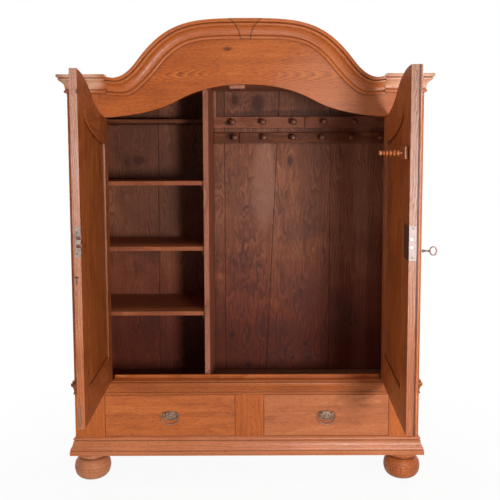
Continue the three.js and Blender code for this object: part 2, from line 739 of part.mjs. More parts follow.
// Cleats under one end of every shelf, let into the upright that carries them.
function shelfCleats(left, right) {
  return shelves.map(({ top, front }) => {
    const seat = top - SHELF_THICKNESS - SEAT_GAP;
    return block(left, right, front + CLEAT_SETBACK, backFace - SEAT_GAP, seat - CLEAT_HEIGHT, seat);
  });
}

// The divider carries the shelves' right-hand cleats and a batten that fixes it to the back above the pegs.
function divider() {
  const board = block(dividerLeft, dividerRight, dividerFront, backFace, floorTop, roofSeat);
  const railTop = springing - UPPER_RAIL.drop + UPPER_RAIL.height;
  const batten = block(
    dividerRight - CLEAT_HOUSING,
    dividerRight + CLEAT_THICKNESS,
    backFace - CLEAT_HEIGHT,
    backFace,
    railTop,
    roofSeat,
  );
  return joined(board, batten, ...shelfCleats(dividerLeft - CLEAT_THICKNESS, dividerLeft + CLEAT_HOUSING));
}

function leftSide() {
  return joined(mirrored(rightSide()), ...shelfCleats(-sideFace - CLEAT_HOUSING, CLEAT_THICKNESS - sideFace));
}

function shelf({ top, front }) {
  return block(
    -sideFace + SEAT_GAP,
    dividerLeft - SEAT_GAP,
    front,
    backFace - SEAT_GAP,
    top - SHELF_THICKNESS,
    top,
  );
}

// A rail on the back boards with its row of turned pegs.
function pegRail(rail) {
  const face = backFace - PEG_RAIL_THICKNESS;
  const bottom = springing - rail.drop;
  const board = block(dividerRight, sideFace, face, backFace, bottom, bottom + rail.height);
  const peg = turned(PEG_PROFILE_SHARES, PEG_HEAD_RADIUS, PEG_LENGTH, PEG_SIDES).rotateX(Math.PI / 2);
  const height = bottom + rail.height / 2;
  const first = dividerRight + rail.fromDivider;
  const pitch = (sideFace - rail.fromSide - first) / (PEGS_PER_RAIL - 1);
  const pegs = Array.from(
    { length: PEGS_PER_RAIL },
    (_, i) => moved(peg, first + i * pitch, face + PEG_TENON, height),
  );
  return joined(board, ...pegs);
}

function stopBlock() {
  const bottom = springing + ARCH_RISE - STOP_DROP;
  const middle = MEETING_OFFSET;
  return block(
    middle - STOP_LENGTH / 2,
    middle + STOP_LENGTH / 2,
    FRAME_THICKNESS,
    FRAME_THICKNESS + STOP_THICKNESS,
    bottom,
    bottom + STOP_HEIGHT,
  );
}

// The panel's outline inside a door's frame, drawn in or let out by an inset.
function panelOutline(left, right, inset) {
  const low = doorFoot + BOTTOM_RAIL_HEIGHT + inset;
  const start = springing - PANEL_SPRING_DROP;
  const [acrossIn, upIn, acrossOut, upOut] = PANEL_ARCH_SHARES;
  const arch = new THREE.CubicBezierCurve(
    new THREE.Vector2(left, start),
    new THREE.Vector2(left + (right - left) * acrossIn, start + PANEL_ARCH_RISE * upIn),
    new THREE.Vector2(left + (right - left) * acrossOut, start + PANEL_ARCH_RISE * upOut),
    new THREE.Vector2(right, start + PANEL_ARCH_RISE),
  ).getPoints(PANEL_STEPS);
  const squeeze = (right - left - 2 * inset) / (right - left);
  const top = arch.map((point) => {
    const x = left + inset + (point.x - left) * squeeze;
    const { height, slope } = lineAt(arch, x);
    return [x, height - inset * Math.hypot(1, slope)];
  });
  return [[left + inset, low], [right - inset, low], ...top.reverse()];
}

// Sizes of one door, drawn closed with its hinge at the left; the right door is this one mirrored.
function doorPlan(meetingEdge, meetingStile) {
  const left = -doorEdge;
  const panelLeft = left + HINGE_STILE_WIDTH;
  const panelRight = meetingEdge - meetingStile;
  const middle = DOOR_THICKNESS / 2;
  return { left, right: meetingEdge, panelLeft, panelRight, middle };
}

function tenonAt(plan, from, to, bottom, gap) {
  const half = TENON_THICKNESS / 2 + gap;
  const middle = plan.middle;
  return block(from, to, middle - half, middle + half, bottom - gap, bottom + TENON_HEIGHT + gap);
}

// The four places where a rail's tenon enters a stile.
function tenonPlaces(plan) {
  const upper = springing - PANEL_SPRING_DROP + TENON_SHOULDER;
  const upperMeeting = springing - PANEL_SPRING_DROP + PANEL_ARCH_RISE + TENON_RISE;
  const lower = doorFoot + TENON_SHOULDER;
  return {
    upperHinge: [plan.panelLeft - BLIND_TENON, plan.panelLeft + TENON_SHOULDER, upper],
    lowerHinge: [plan.panelLeft - BLIND_TENON, plan.panelLeft + TENON_SHOULDER, lower],
    upperMeeting: [plan.panelRight - TENON_SHOULDER, plan.right, upperMeeting],
    lowerMeeting: [plan.panelRight - TENON_SHOULDER, plan.right, lower],
  };
}

function mortise(plan, [from, to, bottom]) {
  const end = to === plan.right ? to + CUT_OVERRUN : to;
  const start = to === plan.right ? from : from - SEAT_GAP;
  return tenonAt(plan, start, end, bottom, SEAT_GAP);
}

function grooveCutter(plan) {
  const half = TONGUE_THICKNESS / 2 + SEAT_GAP;
  const outline = panelOutline(plan.panelLeft, plan.panelRight, -GROOVE_DEPTH);
  return slab(outline, plan.middle - half, plan.middle + half);
}

function pinHoles() {
  const top = springing - DOOR_TOP_GAP;
  const upper = pivotHole(top - PIN_IN_DOOR - SEAT_GAP, top + CUT_OVERRUN);
  const lower = pivotHole(doorFoot - CUT_OVERRUN, doorFoot + PIN_IN_DOOR + SEAT_GAP);
  return [upper, lower].map((hole) => moved(hole, -pivotReach, PIVOT_FROM_FACE, 0));
}

function uprightOutline(left, right) {
  return [[left, doorFoot], [right, doorFoot], ...edgeAlong(archCurve, left, right, DOOR_TOP_GAP).reverse()];
}

function hingeStile(plan) {
  const stile = slab(uprightOutline(plan.left, plan.panelLeft - SEAT_GAP), 0, DOOR_THICKNESS);
  const places = tenonPlaces(plan);
  return cut(
    stile,
    grooveCutter(plan),
    mortise(plan, places.upperHinge),
    mortise(plan, places.lowerHinge),
    ...pinHoles(),
  );
}

function meetingStile(plan, ...recesses) {
  const stile = slab(uprightOutline(plan.panelRight + SEAT_GAP, plan.right), 0, DOOR_THICKNESS);
  const places = tenonPlaces(plan);
  return cut(
    stile,
    grooveCutter(plan),
    mortise(plan, places.upperMeeting),
    mortise(plan, places.lowerMeeting),
    ...recesses,
  );
}

function topRail(plan) {
  const arch = panelOutline(plan.panelLeft, plan.panelRight, 0).slice(2).reverse();
  const edge = edgeAlong(archCurve, plan.panelLeft, plan.panelRight, DOOR_TOP_GAP).reverse();
  const rail = cut(slab([...arch, ...edge], 0, DOOR_THICKNESS), grooveCutter(plan));
  const places = tenonPlaces(plan);
  return joined(rail, tenonAt(plan, ...places.upperHinge, 0), tenonAt(plan, ...places.upperMeeting, 0));
}

function bottomRail(plan) {
  const top = doorFoot + BOTTOM_RAIL_HEIGHT;
  const rail = block(plan.panelLeft, plan.panelRight, 0, DOOR_THICKNESS, doorFoot, top);
  const places = tenonPlaces(plan);
  return joined(
    cut(rail, grooveCutter(plan)),
    tenonAt(plan, ...places.lowerHinge, 0),
    tenonAt(plan, ...places.lowerMeeting, 0),
  );
}

// A panel raised on both faces, with a tongue all round.
function doorPanel(plan) {
  const ring = (inset, depth) => panelOutline(plan.panelLeft, plan.panelRight, inset)
    .map(([x, z]) => new THREE.Vector3(x, depth, z));
  const half = TONGUE_THICKNESS / 2;
  const { middle } = plan;
  return lofted([
    ring(PANEL_BEVEL, PANEL_RECESS),
    ring(SEAT_GAP, middle - half),
    ring(-TONGUE_LENGTH, middle - half),
    ring(-TONGUE_LENGTH, middle + half),
    ring(SEAT_GAP, middle + half),
    ring(PANEL_BEVEL, DOOR_THICKNESS - PANEL_RECESS),
  ], panelOutline(plan.panelLeft, plan.panelRight, 0));
}

function pivotPin(bottom, top) {
  return moved(rod(PIN_RADIUS, bottom, top, PIN_SIDES), -pivotReach, PIVOT_FROM_FACE, 0);
}

function upperPin() {
  return pivotPin(springing - DOOR_TOP_GAP - PIN_IN_DOOR, springing + PIN_IN_CARCASS - SEAT_GAP);
}

function lowerPin() {
  return pivotPin(waistTop - PIN_IN_CARCASS + SEAT_GAP, doorFoot + PIN_IN_DOOR);
}

const boltHeights = [lockMiddle - BOLT_SPREAD / 2, lockMiddle + BOLT_SPREAD / 2];
const boltBack = DOOR_THICKNESS - BOLT_FROM_FACE;
const boltFront = boltBack - BOLT_THICKNESS;

function strikeNotches(from, to, front, back) {
  const half = BOLT_HEIGHT / 2 + NOTCH_GAP;
  return boltHeights.map((height) => block(from, to, front, back, height - half, height + half));
}

function strikeRecesses(plan) {
  const bottom = lockMiddle - STRIKE_HEIGHT / 2;
  const seat = block(
    plan.right - FOREND_THICKNESS - SEAT_GAP,
    plan.right + CUT_OVERRUN,
    DOOR_THICKNESS - STRIKE_WIDTH - SEAT_GAP,
    DOOR_THICKNESS + CUT_OVERRUN,
    bottom - SEAT_GAP,
    bottom + STRIKE_HEIGHT + SEAT_GAP,
  );
  const deep = plan.right - BOLT_TRAVEL - POCKET_SPARE;
  const front = boltFront - NOTCH_GAP;
  return [seat, ...strikeNotches(deep, plan.right, front, DOOR_THICKNESS + CUT_OVERRUN)];
}

function strikePlate(plan) {
  const bottom = lockMiddle - STRIKE_HEIGHT / 2;
  const left = plan.right - FOREND_THICKNESS;
  const front = DOOR_THICKNESS - STRIKE_WIDTH;
  const plate = block(left, plan.right, front, DOOR_THICKNESS, bottom, bottom + STRIKE_HEIGHT);
  const notches = strikeNotches(
    left - CUT_OVERRUN,
    plan.right + CUT_OVERRUN,
    boltFront - NOTCH_GAP,
    DOOR_THICKNESS + CUT_OVERRUN,
  );
  return cut(plate, ...notches);
}

// The lock's case lies in the inner face, with the forend on the meeting edge.
function lockPlan(plan) {
  const right = plan.right - FOREND_THICKNESS;
  return {
    left: right - CASE_WIDTH,
    right,
    front: DOOR_THICKNESS - CASE_THICKNESS,
    bottom: lockMiddle - FOREND_HEIGHT / 2,
    top: lockMiddle + FOREND_HEIGHT / 2,
  };
}

function keyHole(front, back) {
  const hole = rod(KEY_HOLE_RADIUS, -back, -front, WIRE_SIDES * 2).rotateX(Math.PI / 2);
  return moved(hole, 0, 0, keyHeight);
}

function lockRecesses(plan) {
  const lock = lockPlan(plan);
  const bottom = lock.bottom - SEAT_GAP;
  const top = lock.top + SEAT_GAP;
  const end = plan.right + CUT_OVERRUN;
  const face = DOOR_THICKNESS + CUT_OVERRUN;
  return [
    block(lock.left - SEAT_GAP, end, lock.front - SEAT_GAP, face, bottom, top),
    block(lock.right - SEAT_GAP, end, -CUT_OVERRUN, face, bottom, top),
    keyHole(-CUT_OVERRUN, DOOR_THICKNESS),
  ];
}

// The case and its forend, hollow for the bolts, with a round hole for the key.
function lockCase(plan) {
  const lock = lockPlan(plan);
  const shell = block(lock.left, plan.right, lock.front, DOOR_THICKNESS, lock.bottom, lock.top);
  const forend = block(lock.right, plan.right, 0, DOOR_THICKNESS, lock.bottom, lock.top);
  const inside = block(
    lock.left + CASE_WALL,
    lock.right,
    lock.front + CASE_WALL,
    DOOR_THICKNESS - CASE_WALL,
    lock.bottom + CASE_WALL,
    lock.top - CASE_WALL,
  );
  const half = BOLT_HEIGHT / 2 + SEAT_GAP;
  const holes = boltHeights.map((height) => block(
    lock.right - CUT_OVERRUN,
    plan.right + CUT_OVERRUN,
    boltFront - SEAT_GAP,
    boltBack + SEAT_GAP,
    height - half,
    height + half,
  ));
  return cut(joined(shell, forend), inside, keyHole(0, lock.front + CASE_WALL + SEAT_GAP), ...holes);
}

function lockBolts(plan) {
  const left = plan.right - BOLT_LENGTH;
  const half = BOLT_HEIGHT / 2;
  const bar = (height) => block(left, plan.right, boltFront, boltBack, height - half, height + half);
  const bars = boltHeights.map(bar);
  const [low, high] = boltHeights;
  const bridge = block(left, left + BOLT_BRIDGE, boltFront, boltBack, low - half, high + half);
  return joined(bridge, ...bars);
}

// A warded key in the outer face: shaft, collar, bit and an oval bow.
function key() {
  const bitHalf = KEY_BIT_THICKNESS / 2;
  const end = DOOR_THICKNESS - CASE_WALL - KEY_END_IN_CASE;
  const bowNear = KEY_REACH - 2 * KEY_BOW_RADIUS * KEY_BOW_SQUEEZE_SHARE - 2 * KEY_WIRE_RADIUS;
  const shaft = rod(KEY_SHAFT_RADIUS, -end, bowNear + KEY_WIRE_RADIUS, WIRE_SIDES * 2).rotateX(Math.PI / 2);
  const collarEnd = KEY_COLLAR_PLACE + KEY_COLLAR_LENGTH;
  const collar = rod(KEY_COLLAR_RADIUS, KEY_COLLAR_PLACE, collarEnd, WIRE_SIDES * 2).rotateX(Math.PI / 2);
  const bit = block(-bitHalf, bitHalf, end - KEY_BIT_WIDTH, end, 0, KEY_BIT_REACH);
  const torus = new THREE.TorusGeometry(KEY_BOW_RADIUS, KEY_WIRE_RADIUS, WIRE_SIDES, ROUND_STEPS);
  const bow = plain(torus).scale(KEY_BOW_SQUEEZE_SHARE, 1, 1).rotateX(Math.PI / 2).rotateZ(Math.PI / 2);
  const bowMiddle = KEY_BOW_RADIUS * KEY_BOW_SQUEEZE_SHARE + KEY_WIRE_RADIUS - KEY_REACH;
  return joined(shaft, collar, bit, moved(bow, 0, bowMiddle, 0));
}

function astragal() {
  const half = ASTRAGAL_WIDTH / 2;
  const side = ASTRAGAL_PROFILE_SHARES.map(
    ([across, out]) => [across * half, -SEAT_GAP - out * ASTRAGAL_THICKNESS],
  );
  const outline = [...side, ...side.map(([x, y]) => [-x, y]).reverse()];
  const top = heightOn(archCurve, half) - DOOR_TOP_GAP;
  return cut(post(outline, doorFoot, top), keyHole(-ASTRAGAL_THICKNESS - CUT_OVERRUN, CUT_OVERRUN));
}

// The turned peg stands on a small block on the door's inner face.
function tiePeg(plan) {
  const height = doorFoot + TIE_PEG_HEIGHT;
  const right = plan.right - TIE_BLOCK_FROM_EDGE;
  const left = right - TIE_BLOCK_LENGTH;
  const face = DOOR_THICKNESS + SEAT_GAP;
  const half = TIE_BLOCK_HEIGHT / 2;
  const base = block(left, right, face, face + TIE_BLOCK_THICKNESS, height - half, height + half);
  const upright = turned(TIE_PEG_PROFILE_SHARES, TIE_PEG_RADIUS, TIE_PEG_LENGTH, TIE_PEG_SIDES);
  const peg = upright.rotateX(-Math.PI / 2);
  const across = left + TIE_BLOCK_LENGTH * TIE_PEG_PLACE_SHARE;
  return joined(base, moved(peg, across, face + TIE_BLOCK_THICKNESS - PEG_TENON, height));
}

const drawerFoot = drawerOpeningFoot + DRAWER_GAP;
const drawerTop = drawerOpeningTop - DRAWER_GAP;
const pullHeight = (drawerFoot + drawerTop) / 2;

// Where a drawer lies, on the right of the middle; the left one is mirrored into place.
function drawerPlan(side) {
  const left = MUNTIN_WIDTH / 2 + side * MUNTIN_OFFSET + DRAWER_GAP;
  const right = halfOpening - DRAWER_GAP;
  return { left, right, middle: (left + right) / 2 };
}

function drawerFront(plan) {
  return block(plan.left, plan.right, 0, DRAWER_FRONT_THICKNESS, drawerFoot, drawerTop);
}

function drawerBox(plan) {
  const front = DRAWER_FRONT_THICKNESS + SEAT_GAP;
  const back = DRAWER_FRONT_THICKNESS + DRAWER_DEPTH;
  const whole = block(plan.left, plan.right, front, back, drawerFoot, drawerFoot + DRAWER_SIDE_HEIGHT);
  const innerLeft = plan.left + DRAWER_SIDE_THICKNESS;
  const innerRight = plan.right - DRAWER_SIDE_THICKNESS;
  const innerBack = back - DRAWER_SIDE_THICKNESS;
  const bottom = drawerFoot + DRAWER_BOTTOM_RAISE;
  const above = drawerFoot + DRAWER_SIDE_HEIGHT + CUT_OVERRUN;
  const inside = block(innerLeft, innerRight, 0, innerBack, bottom + DRAWER_BOTTOM_THICKNESS, above);
  const under = block(innerLeft, innerRight, 0, back + CUT_OVERRUN, drawerFoot - CUT_OVERRUN, bottom);
  return cut(whole, inside, under);
}

// An oval plate with a raised field and two posts that carry the bail.
function pullPlate() {
  const disc = turned(PULL_PROFILE_SHARES, PULL_WIDTH / 2, PULL_THICKNESS, PULL_SIDES).rotateX(Math.PI / 2);
  const oval = disc.scale(1, 1, PULL_HEIGHT / PULL_WIDTH);
  const half = POST_SPACING / 2;
  const stem = rod(POST_RADIUS, 0, POST_LENGTH, WIRE_SIDES * 2).rotateX(Math.PI / 2);
  const posts = [-half, half].map((x) => moved(stem, x, 0, POST_RISE));
  const radius = BAIL_WIRE_RADIUS + BAIL_HOLE_GAP;
  const hole = rod(radius, -PULL_WIDTH, PULL_WIDTH, WIRE_SIDES * 2).rotateY(Math.PI / 2);
  const holes = [moved(hole, 0, -BAIL_OFFSET, POST_RISE)];
  const plate = joined(oval, ...posts);
  return cut(plate, ...holes);
}

// The bail is an oval bow whose ends turn inwards into the posts; its hinge line is the group's X axis.
function bail() {
  const drop = POST_RISE + BAIL_MIDDLE_DROP;
  const start = Math.asin(drop / BAIL_HALF_HEIGHT);
  const pinEnd = POST_SPACING / 2 - POST_RADIUS + BAIL_PIN_INSET;
  const postFace = POST_SPACING / 2 + POST_RADIUS;
  const pin = [pinEnd, (pinEnd + postFace) / 2, postFace];
  const points = pin.map((x) => new THREE.Vector3(x, 0, 0));
  for (let i = 1; i < BAIL_STEPS; i += 1) {
    const angle = start - ((Math.PI + 2 * start) * i) / BAIL_STEPS;
    const across = BAIL_HALF_WIDTH * Math.cos(angle);
    points.push(new THREE.Vector3(across, 0, BAIL_HALF_HEIGHT * Math.sin(angle) - drop));
  }
  points.push(...pin.reverse().map((x) => new THREE.Vector3(-x, 0, 0)));
  const path = new THREE.CatmullRomCurve3(points);
  const wire = new THREE.EllipseCurve(0, 0, BAIL_WIRE_RADIUS, BAIL_WIRE_RADIUS, 0, 2 * Math.PI);
  const shape = new THREE.Shape(wire.getPoints(WIRE_SIDES).slice(1));
  const steps = BAIL_STEPS + 4;
  return plain(new THREE.ExtrudeGeometry(shape, { steps, extrudePath: path, bevelEnabled: false }));
}

function addPiece(parent, name, geometry, material) {
  const mesh = new THREE.Mesh(geometry, material);
  mesh.name = name;
  parent.add(mesh);
}

function addFeet(cupboard) {
  const across = halfCarcass - FOOT_INSET;
  const depths = { front: FRONT_FOOT_SETBACK, rear: carcassBack - REAR_FOOT_SETBACK };
  for (const [place, depth] of Object.entries(depths)) {
    addPiece(cupboard, `left_${place}_foot`, moved(foot(), -across, depth, 0), oakOutside);
    addPiece(cupboard, `right_${place}_foot`, moved(foot(), across, depth, 0), oakOutside);
  }
}

function addCarcass(cupboard) {
  const baseRail = block(-halfOpening, halfOpening, 0, FRAME_THICKNESS, carcassFoot, drawerOpeningFoot);
  const half = MUNTIN_WIDTH / 2;
  const muntinLeft = MUNTIN_OFFSET - half;
  const muntinRight = MUNTIN_OFFSET + half;
  const muntin = block(muntinLeft, muntinRight, 0, FRAME_THICKNESS, drawerOpeningFoot, drawerOpeningTop);
  const base = wrappedMoulding(BASE_PROFILE_SHARES, BASE_PROJECTION, carcassFoot, drawerOpeningFoot);
  const waist = wrappedMoulding(WAIST_PROFILE_SHARES, WAIST_PROJECTION, drawerOpeningTop, waistTop);
  addPiece(cupboard, 'base_moulding', base, oakOutside);
  addPiece(cupboard, 'base_rail', baseRail, oakOutside);
  addPiece(cupboard, 'left_front_stile', mirrored(rightFrontStile()), oakOutside);
  addPiece(cupboard, 'right_front_stile', rightFrontStile(), oakOutside);
  addPiece(cupboard, 'waist_rail', waistRail(), oakOutside);
  addPiece(cupboard, 'waist_moulding', waist, oakOutside);
  addPiece(cupboard, 'drawer_muntin', muntin, oakOutside);
  addPiece(cupboard, 'frieze_board', friezeBoard(), oakOutside);
  addPiece(cupboard, 'cornice_left', mirrored(corniceHalf()), oakOutside);
  addPiece(cupboard, 'cornice_right', corniceHalf(), oakOutside);
  addPiece(cupboard, 'keystone', keystone(), oakOutside);
  addPiece(cupboard, 'left_side', leftSide(), oakOutside);
  addPiece(cupboard, 'right_side', rightSide(), oakOutside);
  addPiece(cupboard, 'back_boards', backBoards(), softwood);
  addPiece(cupboard, 'roof_boards', roofBoards(), softwood);
  addPiece(cupboard, 'left_socket_plate', mirrored(rightSocketPlate()), copper);
  addPiece(cupboard, 'right_socket_plate', rightSocketPlate(), copper);
}

function addInside(cupboard) {
  addPiece(cupboard, 'floor_boards', floorBoards(), softwood);
  addPiece(cupboard, 'drawer_bed', drawerBed(), softwood);
  addPiece(cupboard, 'threshold', threshold(), oakInside);
  addPiece(cupboard, 'divider', divider(), oakInside);
  shelves.forEach((place, i) => addPiece(cupboard, `shelf_${i + 1}`, shelf(place), softwood));
  addPiece(cupboard, 'upper_peg_rail', pegRail(UPPER_RAIL), softwood);
  addPiece(cupboard, 'lower_peg_rail', pegRail(LOWER_RAIL), softwood);
  addPiece(cupboard, 'stop_block', stopBlock(), turnedWood);
}

// A door's pieces are drawn closed, then the whole door turns about its pivot line.
function openedDoor(cupboard, side, angle) {
  const hinge = new THREE.Group();
  hinge.position.set(side * pivotReach, PIVOT_FROM_FACE, 0);
  hinge.rotation.z = side * angle;
  const door = new THREE.Group();
  door.position.set(-side * pivotReach, -PIVOT_FROM_FACE, 0);
  hinge.add(door);
  cupboard.add(hinge);
  return door;
}

function addDoorFrame(door, name, plan, place, ...recesses) {
  addPiece(door, `${name}_hinge_stile`, place(hingeStile(plan)), oakOutside);
  addPiece(door, `${name}_meeting_stile`, place(meetingStile(plan, ...recesses)), oakOutside);
  addPiece(door, `${name}_top_rail`, place(topRail(plan)), oakOutside);
  addPiece(door, `${name}_bottom_rail`, place(bottomRail(plan)), oakOutside);
  addPiece(door, `${name}_panel`, place(doorPanel(plan)), oakInside);
  addPiece(door, `${name}_upper_pin`, place(upperPin()), steel);
  addPiece(door, `${name}_lower_pin`, place(lowerPin()), steel);
}

function addLeftDoor(cupboard) {
  const door = openedDoor(cupboard, -1, LEFT_OPEN_ANGLE);
  const plan = doorPlan(MEETING_OFFSET - DOOR_MEETING_GAP / 2, LEFT_MEETING_STILE);
  addDoorFrame(door, 'left_door', plan, (geometry) => geometry, ...strikeRecesses(plan));
  addPiece(door, 'strike_plate', strikePlate(plan), steel);
}

function addRightDoor(cupboard) {
  const door = openedDoor(cupboard, 1, RIGHT_OPEN_ANGLE);
  const plan = doorPlan(-MEETING_OFFSET - DOOR_MEETING_GAP / 2, RIGHT_MEETING_STILE);
  addDoorFrame(door, 'right_door', plan, mirrored, ...lockRecesses(plan));
  addPiece(door, 'astragal', astragal(), oakOutside);
  addPiece(door, 'lock_case', mirrored(lockCase(plan)), steel);
  addPiece(door, 'lock_bolts', mirrored(lockBolts(plan)), steel);
  addPiece(door, 'key', moved(key(), 0, 0, keyHeight), steel);
  addPiece(door, 'tie_peg', mirrored(tiePeg(plan)), turnedWood);
}

function addDrawer(cupboard, name, side) {
  const drawer = new THREE.Group();
  const place = side < 0 ? mirrored : (geometry) => geometry;
  const plan = drawerPlan(side);
  const middle = side * plan.middle;
  addPiece(drawer, `${name}_drawer_front`, place(drawerFront(plan)), oakOutside);
  addPiece(drawer, `${name}_drawer_box`, place(drawerBox(plan)), softwood);
  addPiece(drawer, `${name}_pull_plate`, moved(pullPlate(), middle, 0, pullHeight), brass);
  addPiece(drawer, `${name}_bail`, moved(bail(), middle, -BAIL_OFFSET, pullHeight + POST_RISE), brass);
  cupboard.add(drawer);
}

function buildCupboard() {
  const cupboard = new THREE.Group();
  addFeet(cupboard);
  addCarcass(cupboard);
  addInside(cupboard);
  addLeftDoor(cupboard);
  addRightDoor(cupboard);
  addDrawer(cupboard, 'left', -1);
  addDrawer(cupboard, 'right', 1);
  const box = new THREE.Box3().setFromObject(cupboard, true);
  cupboard.position.y = -(box.min.y + box.max.y) / 2;
  return cupboard;
}

export default buildCupboard();
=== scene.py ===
import bmesh
import bpy
import math
from mathutils import Matrix, Vector
from mathutils.bvhtree import BVHTree


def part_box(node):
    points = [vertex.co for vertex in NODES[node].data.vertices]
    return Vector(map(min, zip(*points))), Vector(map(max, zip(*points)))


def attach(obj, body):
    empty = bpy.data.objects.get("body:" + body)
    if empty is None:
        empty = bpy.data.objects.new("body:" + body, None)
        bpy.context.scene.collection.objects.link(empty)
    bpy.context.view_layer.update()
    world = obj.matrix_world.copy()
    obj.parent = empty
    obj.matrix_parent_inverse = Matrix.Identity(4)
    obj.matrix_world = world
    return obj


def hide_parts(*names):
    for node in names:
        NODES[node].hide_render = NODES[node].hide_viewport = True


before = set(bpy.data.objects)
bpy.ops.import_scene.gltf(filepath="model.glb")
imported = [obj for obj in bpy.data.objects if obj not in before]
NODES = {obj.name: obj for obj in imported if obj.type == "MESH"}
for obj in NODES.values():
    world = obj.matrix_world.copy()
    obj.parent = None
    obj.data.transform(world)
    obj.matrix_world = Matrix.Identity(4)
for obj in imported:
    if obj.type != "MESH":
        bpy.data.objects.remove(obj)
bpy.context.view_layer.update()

# Places
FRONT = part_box("left_front_stile")[0].y  # front face of the carcass
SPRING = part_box("left_front_stile")[1].z - 0.187  # springing of the arch
LEFT_ANGLE = math.radians(88.2)  # how far each door stands open at rest
RIGHT_ANGLE = math.radians(87.3)
PIVOT_REACH = 0.647
PIVOT_DEPTH = 0.006

# The photograph's camera
FOCAL_PX = 705.0
PHOTO_PX = 500.0
CENTRE_PX = (254.0, 223.3)
EYE = Vector((0.036, FRONT - 3.194, 1.500))
SENSOR_MM = 36.0
PITCH = 5.04
ROLL = -0.18


def srgb(r, g, b):
    """Linear colour from a colour as a screen shows it, 0 to 255."""
    def one(v):
        v = v / 255
        return v / 12.92 if v <= 0.04045 else ((v + 0.055) / 1.055) ** 2.4
    return (one(r), one(g), one(b), 1.0)


def door_place(side):
    """Moves a point given on the shut door to where it is with the door open."""
    angle = side * (RIGHT_ANGLE if side > 0 else LEFT_ANGLE)
    hinge = Vector((side * PIVOT_REACH, FRONT + PIVOT_DEPTH, 0))
    return Matrix.Translation(hinge) @ Matrix.Rotation(angle, 4, "Z") @ Matrix.Translation(-hinge)


